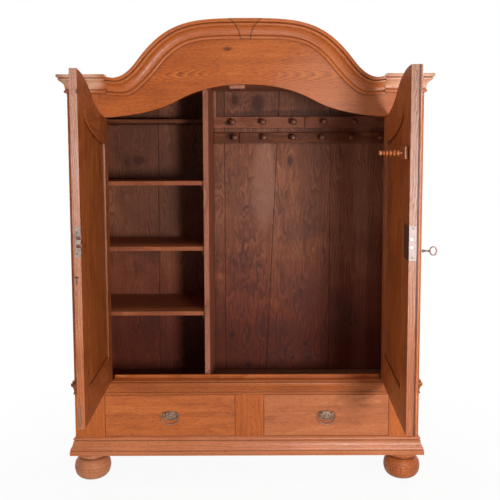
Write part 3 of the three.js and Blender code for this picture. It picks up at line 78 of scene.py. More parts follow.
# Node helper
class Graph:
    """A short way to write the nodes of a material or of the world."""

    def __init__(self, owner):
        owner.use_nodes = True
        self.owner = owner
        self.tree = owner.node_tree
        self.tree.nodes.clear()

    def node(self, kind, **settings):
        made = self.tree.nodes.new(kind)
        for key, value in settings.items():
            setattr(made, key, value)
        return made

    def link(self, source, target):
        self.tree.links.new(source, target)

    def put(self, target, value):
        if isinstance(value, bpy.types.NodeSocket):
            self.link(value, target)
        else:
            target.default_value = value

    def math(self, operation, a, b=0.0, c=0.0):
        made = self.node("ShaderNodeMath", operation=operation)
        for i, value in enumerate((a, b, c)):
            if i < len(made.inputs):
                self.put(made.inputs[i], value)
        return made.outputs[0]

    def vector(self, operation, a, b=(0, 0, 0)):
        made = self.node("ShaderNodeVectorMath", operation=operation)
        self.put(made.inputs[0], a)
        self.put(made.inputs[1], b)
        number = operation in ("LENGTH", "DOT_PRODUCT")
        return made.outputs["Value"] if number else made.outputs[0]

    def noise(self, place, scale, detail=2.0, rough=0.5, distort=0.0):
        made = self.node("ShaderNodeTexNoise")
        self.put(made.inputs["Vector"], place)
        self.put(made.inputs["Scale"], scale)
        self.put(made.inputs["Detail"], detail)
        self.put(made.inputs["Roughness"], rough)
        self.put(made.inputs["Distortion"], distort)
        return made.outputs["Fac"]

    def spread(self, value, low, high, to_low=0.0, to_high=1.0, smooth=True):
        made = self.node("ShaderNodeMapRange", interpolation_type="SMOOTHSTEP" if smooth else "LINEAR")
        self.put(made.inputs["Value"], value)
        limits = {"From Min": low, "From Max": high, "To Min": to_low, "To Max": to_high}
        for key, number in limits.items():
            self.put(made.inputs[key], number)
        return made.outputs[0]

    def ramp(self, value, stops):
        made = self.node("ShaderNodeValToRGB")
        elements = made.color_ramp.elements
        while len(elements) < len(stops):
            elements.new(0.5)
        for element, (place, colour) in zip(elements, stops):
            element.position = place
            element.color = colour
        self.put(made.inputs[0], value)
        return made.outputs[0]

    def mix(self, share, a, b, blend="MIX"):
        made = self.node("ShaderNodeMix", data_type="RGBA", blend_type=blend)
        self.put(made.inputs[0], share)
        self.put(made.inputs[6], a)
        self.put(made.inputs[7], b)
        return made.outputs[2]

    def dimmed(self, colour, share, warmth=1.0):
        """A colour darkened to a share, which turns warmer as old wood does in shade."""
        made = self.node("ShaderNodeCombineColor")
        for socket, power in zip(made.inputs, (0.9, 0.9 + 0.36 * warmth, 0.9 + 0.58 * warmth)):
            self.put(socket, self.math("POWER", share, power))
        return self.mix(1.0, colour, made.outputs[0], "MULTIPLY")

    def split(self, place):
        made = self.node("ShaderNodeSeparateXYZ")
        self.link(place, made.inputs[0])
        return made.outputs

    def turned(self, place, angles):
        made = self.node("ShaderNodeMapping")
        self.link(place, made.inputs["Vector"])
        made.inputs["Rotation"].default_value = angles
        return made.outputs[0]

    def nudged(self, value, source, share):
        """A value moved by a share of what the source lies above or below its middle."""
        return self.math("MULTIPLY_ADD", self.math("SUBTRACT", source, 0.5), share, value)

    def radii_off(self, place, centre, radii):
        """How far a place lies from a centre, counted in radii."""
        away = self.vector("SUBTRACT", place, centre)
        return self.vector("LENGTH", self.vector("DIVIDE", away, radii))

    def facing(self, direction):
        """How squarely a face looks along a direction."""
        normal = self.node("ShaderNodeTexCoord").outputs["Normal"]
        return self.vector("DOT_PRODUCT", normal, direction)

    def edge_bend(self, radius):
        """How sharply the surface turns near an edge."""
        rounded = self.node("ShaderNodeBevel", samples=4)
        rounded.inputs["Radius"].default_value = radius
        normal = self.node("ShaderNodeNewGeometry").outputs["Normal"]
        return self.math("SUBTRACT", 1.0, self.vector("DOT_PRODUCT", rounded.outputs[0], normal))

    def hollow_dirt_and_shade(self, reach, closed):
        """How closed in a hollow is, which sets the dirt, patina and painted shade that it takes."""
        hollow = self.node("ShaderNodeAmbientOcclusion", samples=6)
        hollow.inputs["Distance"].default_value = reach
        return self.spread(hollow.outputs["AO"], 0.9, closed)

    def shaded(self, colour, painted_shade):
        """Painted shade: the faces that look a given way are darker and warmer."""
        for direction, share, warmth in painted_shade:
            dim = self.spread(self.facing(direction), 0.35, 0.8, 1.0, share)
            colour = self.dimmed(colour, dim, warmth)
        return colour

    def seen_directly(self):
        """1 where the camera looks, also by a reflection or through glass, and 0 for other rays."""
        path = self.node("ShaderNodeLightPath")
        seen = path.outputs["Is Camera Ray"]
        for ray in ("Is Glossy Ray", "Is Transmission Ray"):
            seen = self.math("MAXIMUM", seen, path.outputs[ray])
        return seen

    def bump(self, height, strength, distance):
        made = self.node("ShaderNodeBump")
        self.put(made.inputs["Height"], height)
        made.inputs["Strength"].default_value = strength
        made.inputs["Distance"].default_value = distance
        self.link(made.outputs[0], self.shader.inputs["Normal"])


def surface_graph(name):
    """A new material's graph, with its shader and output."""
    g = Graph(bpy.data.materials.new(name))
    g.shader = g.node("ShaderNodeBsdfPrincipled")
    g.out = g.node("ShaderNodeOutputMaterial")
    g.link(g.shader.outputs[0], g.out.inputs["Surface"])
    return g


def scaled(colour, share):
    return tuple(c * share for c in colour[:3]) + (1.0,)


# Wood
def along_grain(g, grain, turn):
    """The place in the row frame, and the same place with X along the grain."""
    world = g.node("ShaderNodeTexCoord").outputs["Object"]
    if grain == "ATTRIBUTE":
        return world, g.node("ShaderNodeAttribute", attribute_name="grain").outputs["Vector"]
    place = g.turned(world, (0, 0, -turn))
    if grain == "Z":
        place = g.turned(place, (0, math.pi / 2, 0))
    elif grain == "Y":
        place = g.turned(place, (0, 0, math.pi / 2))
    return world, place


def board_offset(g, world, boards, seed):
    """A number that jumps from each board to the next, so that their grain differs."""
    place = g.split(world)
    count = 0.0
    for foot, top, low, high in boards:
        edge = g.spread(place["Z"], low, high, foot, top, smooth=False)
        count = g.math("ADD", count, g.math("GREATER_THAN", place["X"], edge))
    return g.math("MULTIPLY_ADD", count, 3.7, seed)


def knot_fields(g, world, knots):
    """How strongly the knots bend the grain, and where their hearts lie."""
    bend = 0.0
    heart = 0.0
    for centre, radii in knots:
        length = g.radii_off(world, centre, radii)
        bend = g.math("ADD", bend, g.math("EXPONENT", g.math("MULTIPLY", length, -0.9)))
        heart = g.math("MAXIMUM", heart, g.spread(length, 1.05, 0.55))
    return bend, heart


def wood(name, tone, grain="Z", turn=0.0, pith=(0.0, 0.0), tilt=0.02, ring=0.011, seed=0.0, rings=0.2,
         streak=0.3, blotch=0.16, fleck=0.3, knots=(), boards=None, rough=0.45, wear=0.35, dirt_and_shade=0.6,
         warp=0.02, spots=(), shade=1.0, fade=None, painted_shade=(), gloss=0.32, dome=None, painted_sheen=None):
    """Waxed wood: year rings round a pith, streaks, pores, clouds, knots, worn edges, and dirt with painted
    shade in hollows.
    tone is (dark, middle, light), and shade darkens all three.
    pith is where the heart lies, in the two directions across the grain.
    boards lists joints as (x at the foot, x at the top, foot, top), and knots lists (centre, radii).
    spots lists (centre, radii, colour, share).
    fade is (low, high, share, warmth, direction): faces that look that way darken from high to low.
    painted shade is listed as (direction, share, warmth): faces that look that way are darker and warmer.
    dome is (place, share): the rings close to ovals round that place along the grain.
    painted sheen is (direction, tint, low, high, share): faces that look that way take a tint, less lower
    down."""
    g = surface_graph(name)
    dark, middle, light = (scaled(c, shade) for c in tone)
    world, place = along_grain(g, grain, turn)
    offset = board_offset(g, world, boards, seed) if boards else seed
    shift = g.node("ShaderNodeCombineXYZ")
    g.put(shift.inputs["X"], offset)
    g.put(shift.inputs["Y"], offset)
    place = g.vector("ADD", place, shift.outputs[0])

    # the rings wander, and bend round each knot
    slow = g.vector("MULTIPLY", place, (1.3, 5.0, 5.0))
    wander = g.math("SUBTRACT", g.noise(slow, 1.6, 3.0, 0.55), 0.5)
    knot_bend, knot_heart = knot_fields(g, world, knots)
    axis = g.split(place)
    side = g.math("MULTIPLY_ADD", axis["X"], tilt, g.math("SUBTRACT", axis["Y"], pith[0]))
    depth = g.math("SUBTRACT", axis["Z"], pith[1])
    if boards:
        side = g.math("SUBTRACT", side, offset)
    side = g.math("MULTIPLY_ADD", wander, warp * 3, side)
    depth = g.math("MULTIPLY_ADD", wander, warp, depth)
    square = g.math("ADD", g.math("MULTIPLY", side, side), g.math("MULTIPLY", depth, depth))
    if dome:
        along = g.math("MULTIPLY", g.math("SUBTRACT", axis["X"], dome[0] + seed), dome[1])
        along = g.math("MULTIPLY_ADD", wander, warp, along)
        damping = g.math("MULTIPLY_ADD", g.math("ABSOLUTE", along), 9.0, 1.0)
        along = g.math("DIVIDE", along, damping)
        square = g.math("ADD", square, g.math("MULTIPLY", along, along))
    reach = g.math("MULTIPLY_ADD", knot_bend, ring * 5.0, g.math("SQRT", square))
    saw = g.math("FRACT", g.math("DIVIDE", reach, ring))
    year = g.math("MULTIPLY", g.spread(saw, 0.0, 0.78), g.spread(saw, 1.0, 0.86))

    # fine and broad streaks, pores, a slanting ripple and clouds
    streaks = g.noise(g.vector("MULTIPLY", place, (6.0, 230.0, 230.0)), 1.0, 3.0, 0.6)
    broad = g.noise(g.vector("MULTIPLY", place, (1.2, 26.0, 26.0)), 1.0, 2.0, 0.5)
    pores = g.spread(g.noise(g.vector("MULTIPLY", place, (55.0, 420.0, 420.0)), 1.0, 1.0), 0.56, 0.72)
    lean = g.turned(place, (0, 0, math.radians(13)))
    ripple = g.noise(g.vector("MULTIPLY", lean, (28.0, 210.0, 210.0)), 1.0, 2.0, 0.6)
    clouds = g.noise(place, 4.2, 3.0, 0.55)
    patchy = g.spread(g.noise(slow, 3.2, 2.0), 0.35, 0.65, -0.35 * rings, -1.3 * rings)
    value = g.nudged(0.5, year, patchy)
    value = g.nudged(value, streaks, streak)
    value = g.nudged(value, broad, streak)
    value = g.nudged(value, clouds, blotch * 2)
    value = g.nudged(value, ripple, fleck * 0.9)
    value = g.math("MULTIPLY_ADD", pores, -fleck * 0.6, value)
    colour = g.ramp(value, [(0.12, dark), (0.5, middle), (0.88, light)])

    if knots:
        halo = g.spread(knot_bend, 0.16, 0.62)
        colour = g.mix(g.math("MULTIPLY", halo, 0.5), colour, scaled(dark, 0.8))
        heart_share = g.math("MULTIPLY", knot_heart, g.spread(year, 0.0, 1.0, 0.75, 0.45))
        colour = g.mix(heart_share, colour, g.dimmed(dark, 0.45, 1.2))
    for centre, radii, ink, share in spots:
        near = g.nudged(g.radii_off(world, centre, radii), clouds, 0.8)
        colour = g.mix(g.math("MULTIPLY", g.spread(near, 1.0, 0.45), share), colour, ink)
    if fade:
        low, high, share, warmth, direction = fade
        ragged = g.nudged(g.split(world)["Z"], clouds, 0.5)
        loss = g.math("SUBTRACT", g.spread(ragged, low, high, share, 1.0), 1.0)
        dim = g.math("MULTIPLY_ADD", loss, g.spread(g.facing(direction), 0.3, 0.7), 1.0)
        colour = g.dimmed(colour, dim, warmth)
    # painted sheen: faces that look one way take a tint, less lower down
    if painted_sheen:
        direction, sheen_tint, low, high, share = painted_sheen
        rise = g.spread(g.split(world)["Z"], low, high, share, 1.0)
        amount = g.math("MULTIPLY", g.spread(g.facing(direction), 0.6, 0.9), rise)
        colour = g.mix(amount, colour, g.mix(1.0, colour, sheen_tint, "MULTIPLY"))
    # painted shade on the faces that look the listed ways
    colour = g.shaded(colour, painted_shade)
    if wear:
        ragged = g.math("MULTIPLY_ADD", g.noise(place, 38.0, 3.0, 0.7), 1.4, 0.1)
        edge = g.spread(g.math("MULTIPLY", g.edge_bend(0.0025), ragged), 0.02, 0.16)
        colour = g.mix(g.math("MULTIPLY", edge, wear), colour, scaled(light, 1.25))
    # dirt and painted shade darken the hollows
    if dirt_and_shade:
        colour = g.mix(g.math("MULTIPLY", g.hollow_dirt_and_shade(0.016, 0.35), dirt_and_shade), colour, scaled(dark, 0.3))
    g.link(colour, g.shader.inputs["Base Color"])
    sheen = g.math("MULTIPLY_ADD", pores, 0.12, g.nudged(rough, clouds, 0.25))
    g.link(sheen, g.shader.inputs["Roughness"])
    g.shader.inputs["Specular IOR Level"].default_value = gloss
    relief = g.math("MULTIPLY_ADD", year, -0.35, streaks)
    relief = g.math("MULTIPLY_ADD", pores, -0.5, relief)
    relief = g.math("MULTIPLY_ADD", clouds, 2.5, relief)
    g.bump(relief, 0.5, 0.0006)
    return g.owner


# Metal
def metal(name, tone, rough=0.35, metallic=0.9, patina=0.5, wear=0.5, seed=0.0, painted_shade=()):
    """Old metal: a worn, brighter edge, a cloudy patina in the hollows and small pits."""
    g = surface_graph(name)
    dark, middle, light = tone
    world = g.node("ShaderNodeTexCoord").outputs["Object"]
    place = g.vector("ADD", world, (seed, seed, seed))
    clouds = g.noise(place, 60.0, 4.0, 0.65)
    grit = g.noise(place, 600.0, 3.0, 0.7)
    colour = g.ramp(g.nudged(clouds, grit, 0.5), [(0.25, dark), (0.5, middle), (0.8, light)])
    colour = g.mix(g.math("MULTIPLY", g.hollow_dirt_and_shade(0.006, 0.3), patina), colour, scaled(dark, 0.3))
    edge = g.spread(g.edge_bend(0.0008), 0.02, 0.2)
    colour = g.mix(g.math("MULTIPLY", edge, wear), colour, scaled(light, 1.3))
    # painted shade on the faces that look the listed ways
    g.link(g.shaded(colour, painted_shade), g.shader.inputs["Base Color"])
    g.shader.inputs["Metallic"].default_value = metallic
    g.link(g.nudged(rough, clouds, 0.4), g.shader.inputs["Roughness"])
    g.bump(g.math("MULTIPLY_ADD", grit, 0.4, clouds), 0.4, 0.0003)
    return g.owner


def tones(*colours):
    return tuple(srgb(*colour) for colour in colours)


# Tones of the woods, each as dark, middle and light
OAK = tones((108, 46, 12), (177, 90, 32), (210, 130, 66))
OAK_FRIEZE = tones((106, 44, 10), (174, 86, 27), (207, 125, 58))
OAK_WARM = tones((112, 50, 16), (182, 96, 42), (212, 134, 76))
OAK_PINK = tones((124, 72, 50), (168, 112, 88), (200, 150, 124))
OAK_BASE = tones((117, 57, 27), (186, 106, 60), (214, 142, 94))
PINE = tones((78, 36, 20), (136, 80, 54), (172, 114, 86))
PINE_SHELF = tones((88, 40, 18), (144, 76, 42), (180, 110, 70))
PINE_EDGE = tones((92, 46, 28), (150, 88, 62), (184, 122, 94))
TURNED = tones((104, 48, 22), (176, 92, 42), (212, 134, 76))


# Dressing the CAD nodes
def add_rim(obj, width, angle):
    """Small rounded edges where the surface turns by more than an angle."""
    rim = obj.modifiers.new("rim", "BEVEL")
    rim.width = width
    rim.segments = 2
    rim.limit_method = "ANGLE"
    rim.angle_limit = math.radians(angle)
    rim.harden_normals = False


def dress(node, material, bevel=0.0012):
    """Gives a CAD node its material and small rounded edges; its mesh stays as it is."""
    obj = NODES[node]
    obj.data.materials.clear()
    obj.data.materials.append(material)
    weld = obj.modifiers.new("weld", "WELD")
    weld.merge_threshold = 0.00001
    flat = obj.modifiers.new("flat", "DECIMATE")
    flat.decimate_type = "DISSOLVE"
    flat.angle_limit = math.radians(0.5)
    add_rim(obj, bevel, 28)


def show(name, vertices, faces, material, body, grain=None, smooth=32.0, replaces=(), bevel=0.0):
    """A new piece from points and faces, given where it stands at rest."""
    mesh = bpy.data.meshes.new(name)
    mesh.from_pydata([tuple(v) for v in vertices], [], faces)
    mesh.validate()
    shell = bmesh.new()
    shell.from_mesh(mesh)
    bmesh.ops.recalc_face_normals(shell, faces=shell.faces)
    shell.to_mesh(mesh)
    shell.free()
    for polygon in mesh.polygons:
        polygon.use_smooth = True
    mesh.set_sharp_from_angle(angle=math.radians(smooth))
    if grain:
        data = mesh.attributes.new("grain", "FLOAT_VECTOR", "POINT")
        for item, value in zip(data.data, grain):
            item.vector = value
    mesh.materials.append(material)
    obj = bpy.data.objects.new(name, mesh)
    bpy.context.scene.collection.objects.link(obj)
    if bevel:
        add_rim(obj, bevel, smooth)
    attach(obj, body)
    if replaces:
        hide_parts(*replaces)


# Camera, light, floor
WORLD_LIGHT = 0.03
FLOOR_REACH = 30.0
FLOOR_NEAR, FLOOR_FAR, FLOOR_NEAR_SHARE = 0.9, 2.4, 0.935


def add_camera():
    data = bpy.data.cameras.new("photo_camera")
    data.sensor_width = SENSOR_MM
    data.sensor_fit = "HORIZONTAL"
    data.lens = FOCAL_PX * SENSOR_MM / PHOTO_PX
    data.shift_x = -(CENTRE_PX[0] - PHOTO_PX / 2) / PHOTO_PX
    data.shift_y = -(PHOTO_PX / 2 - CENTRE_PX[1]) / PHOTO_PX
    camera = bpy.data.objects.new("photo_camera", data)
    bpy.context.scene.collection.objects.link(camera)
    camera.location = EYE
    camera.rotation_mode = "QUATERNION"
    turn = Matrix.Rotation(math.radians(90 - PITCH), 4, "X") @ Matrix.Rotation(math.radians(ROLL), 4, "Z")
    camera.rotation_quaternion = turn.to_quaternion()
    bpy.context.scene.camera = camera


def add_lamp(name, place, aim, size, power, colour=(1, 1, 1)):
    data = bpy.data.lights.new(name, "AREA")
    data.shape = "DISK"
    data.size = size
    data.energy = power
    data.color = colour
    lamp = bpy.data.objects.new(name, data)
    bpy.context.scene.collection.objects.link(lamp)
    lamp.location = place
    lamp.rotation_mode = "QUATERNION"
    lamp.rotation_quaternion = (Vector(aim) - Vector(place)).to_track_quat("-Z", "Y")


def add_light():
    add_lamp("key_lamp", (1.07, FRONT - 3.15, 1.14), (0.0, FRONT, 1.15), 0.58, 84, (1.0, 0.97, 0.94))
    add_lamp("left_fill", (-2.9, FRONT - 2.6, 1.5), (0.4, FRONT - 0.3, 1.2), 1.2, 27, (1.0, 0.97, 0.95))
    add_lamp("right_fill", (2.9, FRONT - 2.0, 1.8), (0.5, FRONT, 1.2), 1.2, 20)
    add_lamp("top_lamp", (0.0, FRONT - 0.6, 4.0), (0, FRONT + 0.1, 1.9), 1.6, 26)
    add_lamp("back_left", (-2.6, FRONT + 3.6, 2.2), (0, FRONT + 0.5, 1.1), 1.8, 120)
    add_lamp("back_right", (2.6, FRONT + 3.6, 2.2), (0, FRONT + 0.5, 1.1), 1.8, 120)
    world = bpy.data.worlds.new("studio")
    g = Graph(world)
    back = g.node("ShaderNodeBackground")
    back.inputs["Color"].default_value = (1, 1, 1, 1)
    strength = g.spread(g.seen_directly(), 0.0, 1.0, WORLD_LIGHT, 1.0, smooth=False)
    g.link(strength, back.inputs["Strength"])
    out = g.node("ShaderNodeOutputWorld")
    g.link(back.outputs[0], out.inputs["Surface"])
    bpy.context.scene.world = world


def add_floor():
    """A pale floor that keeps the shadow and turns white further out."""
    mesh = bpy.data.meshes.new("studio_floor")
    corners = [(-FLOOR_REACH, -FLOOR_REACH, 0), (FLOOR_REACH, -FLOOR_REACH, 0),
               (FLOOR_REACH, FLOOR_REACH, 0), (-FLOOR_REACH, FLOOR_REACH, 0)]
    mesh.from_pydata(corners, [], [(0, 1, 2, 3)])
    g = surface_graph("studio_floor")
    g.shader.inputs["Base Color"].default_value = (0.82, 0.82, 0.81, 1)
    g.shader.inputs["Roughness"].default_value = 0.9
    glow = g.node("ShaderNodeEmission")
    glow.inputs["Strength"].default_value = 1.0
    away = g.vector("LENGTH", g.node("ShaderNodeTexCoord").outputs["Object"])
    whiteness = g.spread(away, FLOOR_NEAR, FLOOR_FAR, FLOOR_NEAR_SHARE, 1.0)
    blend = g.node("ShaderNodeMixShader")
    g.link(g.math("MULTIPLY", g.seen_directly(), whiteness), blend.inputs[0])
    g.link(g.shader.outputs[0], blend.inputs[1])
    g.link(glow.outputs[0], blend.inputs[2])
    g.link(blend.outputs[0], g.out.inputs["Surface"])
    mesh.materials.append(g.owner)
    floor = bpy.data.objects.new("studio_floor", mesh)
    bpy.context.scene.collection.objects.link(floor)


# Finer pieces in place of plain CAD solids
def place_on(matrix, points):
    return [matrix @ Vector(p) for p in points]


def smoothed(points, corners, steps=5):
    """An outline rounded between its corners, which stay sharp."""
    marks = sorted(set([0, len(points) - 1] + list(corners)))
    made = [tuple(points[0])]
    for first, last in zip(marks, marks[1:]):
        run = [Vector(p) for p in points[first:last + 1]]
        if len(run) == 2:
            made.append(tuple(run[1]))
            continue
        run = [run[0] * 2 - run[1]] + run + [run[-1] * 2 - run[-2]]
        for i in range(1, len(run) - 2):
            a, b, c, d = run[i - 1:i + 3]
            for k in range(1, steps + 1):
                t = k / steps
                made.append(tuple(0.5 * (2 * b + (c - a) * t + (2 * a - 5 * b + 4 * c - d) * t * t
                                         + (3 * b - a - 3 * c + d) * t ** 3)))
    return made


def skin(rings, caps=True, flip=False):
    """Faces that join rings of the same number of points."""
    count = len(rings[0])
    points = [p for ring in rings for p in ring]
    faces = []
    for i in range(len(rings) - 1):
        for j in range(count):
            k = (j + 1) % count
            faces.append((i * count + j, i * count + k, (i + 1) * count + k, (i + 1) * count + j))
    if caps:
        last = (len(rings) - 1) * count
        faces.append(tuple(reversed(range(count))))
        faces.append(tuple(last + j for j in range(count)))
    if flip:
        faces = [tuple(reversed(f)) for f in faces]
    return points, faces


def lathe(outline, sides):
    """Rings of a turned piece round Z; the outline's first and last points lie on the axis."""
    angles = [2 * math.pi * j / sides for j in range(sides)]
    rings = []
    for reach, height in outline[1:-1]:
        rings.append([(reach * math.cos(a), reach * math.sin(a), height) for a in angles])
    return skin(rings)


def sweep(path, radii, sides, closed=False):
    """A round wire along points, with its own radius at each."""
    path = [Vector(p) for p in path]
    count = len(path)
    ahead = [(path[(i + 1) % count] - path[i - 1]) if closed else
             (path[min(i + 1, count - 1)] - path[max(i - 1, 0)]) for i in range(count)]
    side = ahead[0].orthogonal().normalized()
    angles = [2 * math.pi * j / sides for j in range(sides)]
    rings = []
    for point, forward, radius in zip(path, ahead, radii):
        forward = forward.normalized()
        side = (side - forward * side.dot(forward)).normalized()
        up = forward.cross(side)
        rings.append([point + (side * math.cos(a) + up * math.sin(a)) * radius for a in angles])
    if closed:
        rings.append(rings[0])
    return skin(rings, caps=not closed)


def gathered(parts):
    """Several lots of points and faces as one."""
    points, faces = [], []
    for more, sides in parts:
        faces += [tuple(i + len(points) for i in face) for face in sides]
        points += [Vector(p) for p in more]
    return points, faces


def brick(low, high):
    """A block between two corners."""
    (x0, y0, z0), (x1, y1, z1) = low, high
    return skin([[(x0, y0, z), (x1, y0, z), (x1, y1, z), (x0, y1, z)] for z in (z0, z1)])


# The cornice follows the same curves as the CAD solid, with a finer profile.
CROWN_LOW, CROWN_HIGH = 0.344, 0.428
CORNER_LOW, CORNER_HIGH = 0.108, 0.187
KINK_X, KINK_LOW, KINK_HIGH = 0.622, 0.100, 0.178
LOWER_SHARES = (0.736, 0.448, 0.445, 0.322, 0.135, 0.065)
UPPER_SHARES = (0.783, 0.371, 0.374, 0.343, 0.075, 0.105)
LOWER_CURVE = (0.541, 0.096, CROWN_LOW, LOWER_SHARES)
UPPER_CURVE = (0.591, 0.172, CROWN_HIGH, UPPER_SHARES)
CURVE_SLOPE = math.radians(51)
OUT = 0.037  # how far the profile stands out
BREAK = 0.006  # the corner lengths stand further forward
HALF = 0.800  # the carcass front's half width
BACK = 0.506
CORNICE_START = 0.012  # nearer the middle, the keystone hides the run
SEAM = 0.001  # between two rings where the run turns a corner
WALK_POINT = 9  # the outline's point at which a run's length is measured
CORNICE_SHARES = smoothed(
    [(0, 0), (.18, 0), (.25, .04), (.27, .09), (.22, .14), (.13, .165), (.1, .19), (.15, .215),
     (.17, .32), (.26, .45), (.45, .57), (.70, .645), (.75, .655), (.75, .685), (.8, .69), (.82, .735),
     (.8, .785), (.755, .8), (.84, .815), (.93, .832), (.985, .865), (1, .9), (1, .985), (.985, 1),
     (0, 1)],
    [1, 5, 6, 7, 11, 12, 13, 14, 16, 17, 18, 21, 22, 23])


def s_curve(reach, low, high, shares, crown_steps=34, end_steps=16):
    """Points of a curve that falls from the crown to its low end, through a bend."""
    across, up, crown, bend_in, bend_out, end = shares
    bend = Vector((reach * across, low + (high - low) * up))
    fall = Vector((math.cos(CURVE_SLOPE), -math.sin(CURVE_SLOPE)))
    upper = [Vector((0, high)), Vector((reach * crown, high)), bend - fall * reach * bend_in, bend]
    foot = Vector((reach, low))
    lower = [bend, bend + fall * reach * bend_out, Vector((reach - reach * end, low)), foot]

    def at(c, t):
        early = c[0] * (1 - t) ** 3 + c[1] * 3 * t * (1 - t) ** 2
        return early + c[2] * 3 * t * t * (1 - t) + c[3] * t ** 3
    return [at(upper, i / crown_steps) for i in range(crown_steps + 1)] + \
           [at(lower, i / end_steps) for i in range(1, end_steps + 1)]


def walked_lengths(rings, point):
    """How far along its run each ring stands, measured at one of the outline's points."""
    lengths = [0.0]
    for a, b in zip(rings, rings[1:]):
        lengths.append(lengths[-1] + (Vector(b[point]) - Vector(a[point])).length)
    return lengths


def add_cornice(material):
    """Each half runs along its curve, round the corner and back along the side."""
    low = s_curve(*LOWER_CURVE) + [Vector((KINK_X, KINK_LOW))]
    high = s_curve(*UPPER_CURVE) + [Vector((KINK_X, KINK_HIGH))]
    rings = []
    for a, b in zip(low, high):
        if b.x >= CORNICE_START:
            rings.append([(a.x + (b.x - a.x) * up, FRONT - out * OUT, SPRING + a.y + (b.y - a.y) * up)
                          for out, up in CORNICE_SHARES])
    rise = CORNER_HIGH - CORNER_LOW
    stations = [(KINK_X + SEAM, 0, 0.0), (HALF - SEAM, 1, 0.0), (HALF, 1, SEAM)]
    for x, widens, behind in stations:
        rings.append([(x + widens * out * OUT, FRONT - (out * OUT + (BREAK if out else 0)) + behind,
                       SPRING + CORNER_LOW + rise * up) for out, up in CORNICE_SHARES])
    rings.append([(x, FRONT + BACK, z) for x, _, z in rings[-1]])
    along = walked_lengths(rings, WALK_POINT)
    across = [0.0]
    for a, b in zip(CORNICE_SHARES, CORNICE_SHARES[1:]):
        across.append(across[-1] + math.hypot((b[0] - a[0]) * OUT, (b[1] - a[1]) * rise))
    for side, name in ((1, "right"), (-1, "left")):
        points, faces = skin([[(side * x, y, z) for x, y, z in ring] for ring in rings], flip=side > 0)
        grain = [(side * walk, side * 0.3 + d, 0.02 * side) for walk in along for d in across]
        show(f"cornice_{name}_run", points, faces, material, "root", grain, 30, (f"cornice_{name}",),
             0.0004)


# The keystone has hollow flanks and stands a little proud of the cornice. Its joint shows as a dark line.
KEYSTONE_TOP, KEYSTONE_FOOT, KEYSTONE_WAIST_SHARE = 0.142, 0.040, 0.42
KEYSTONE_PROUD = 0.0025
JOINT_WIDER, JOINT_PROUD, JOINT_DROP = 0.0042, 0.0009, 0.0006


def add_keystone(material, glue):
    """The keystone's block, and the dark joint that shows beside it."""
    rise = CROWN_HIGH - CROWN_LOW
    foot = KEYSTONE_FOOT / 2
    flank = []
    steps = 40
    for i in range(steps + 1):
        t = i / steps
        x = foot * (1 - t) ** 2 + 2 * foot * t * (1 - t) + KEYSTONE_TOP / 2 * t * t
        z = (1 - KEYSTONE_WAIST_SHARE) * 2 * t * (1 - t) + t * t
        flank.append((z, x))

    def half(up):
        for (z0, x0), (z1, x1) in zip(flank, flank[1:]):
            if up <= z1:
                return x0 + (x1 - x0) * (up - z0) / (z1 - z0)
        return flank[-1][1]

    columns = 12
    count = len(CORNICE_SHARES)
    pieces = (("keystone_block", 0.0, KEYSTONE_PROUD, 0.0, material),
              ("keystone_joint", JOINT_WIDER, JOINT_PROUD, JOINT_DROP, glue))
    for name, wider, proud, drop, finish in pieces:
        rings = []
        grain = []
        for k in range(columns + 1):
            u = -1 + 2 * k / columns
            rings.append([(u * (half(up) + wider), FRONT - (out * OUT + proud if out else 0),
                           SPRING + CROWN_LOW + rise * up - drop)
                          for out, up in CORNICE_SHARES])
            grain += [(u * half(up), 0.9 + up * rise, out * OUT) for out, up in CORNICE_SHARES]
        points, faces = skin(rings, caps=False)
        # each flank is closed back to the frieze by ruled faces
        for first in (0, columns * count):
            start = len(points)
            points = points + [(points[first + j][0], FRONT, points[first + j][2]) for j in range(count)]
            grain += [grain[first + j] for j in range(count)]
            faces += [(first + j, first + j + 1, start + j + 1, start + j) for j in range(1, count - 2)]
        show(name, points, faces, finish, "root", grain, 30, ("keystone",) if wider == 0 else (), 0.0004)


def add_run(name, node, shares, corners, material, seed):
    """A moulding across the front and back along both sides, with a finer profile than its solid."""
    low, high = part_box(node)
    rise = high.z - low.z
    outline = smoothed(shares, corners)
    out_max = high.x - HALF
    rings = []
    for side in (-1, 1):
        back = [(side * (HALF + out * out_max), high.y, low.z + rise * up) for out, up in outline]
        turn = [(x, FRONT - out * out_max, z) for (x, _, z), (out, _) in zip(back, outline)]
        rings += [back, turn] if side < 0 else [turn, back]
    dense = []
    steps = 12
    for a, b in zip(rings, rings[1:]):
        for k in range(steps):
            dense.append([tuple(Vector(p).lerp(Vector(q), k / steps)) for p, q in zip(a, b)])
    dense.append(rings[-1])
    grain = []
    for walked, ring in zip(walked_lengths(dense, 3), dense):
        grain += [(walked, seed + p[2], out * out_max) for p, (out, _) in zip(ring, outline)]
    points, faces = skin(dense)
    show(name, points, faces, material, "root", grain, 30, (node,), 0.0005)


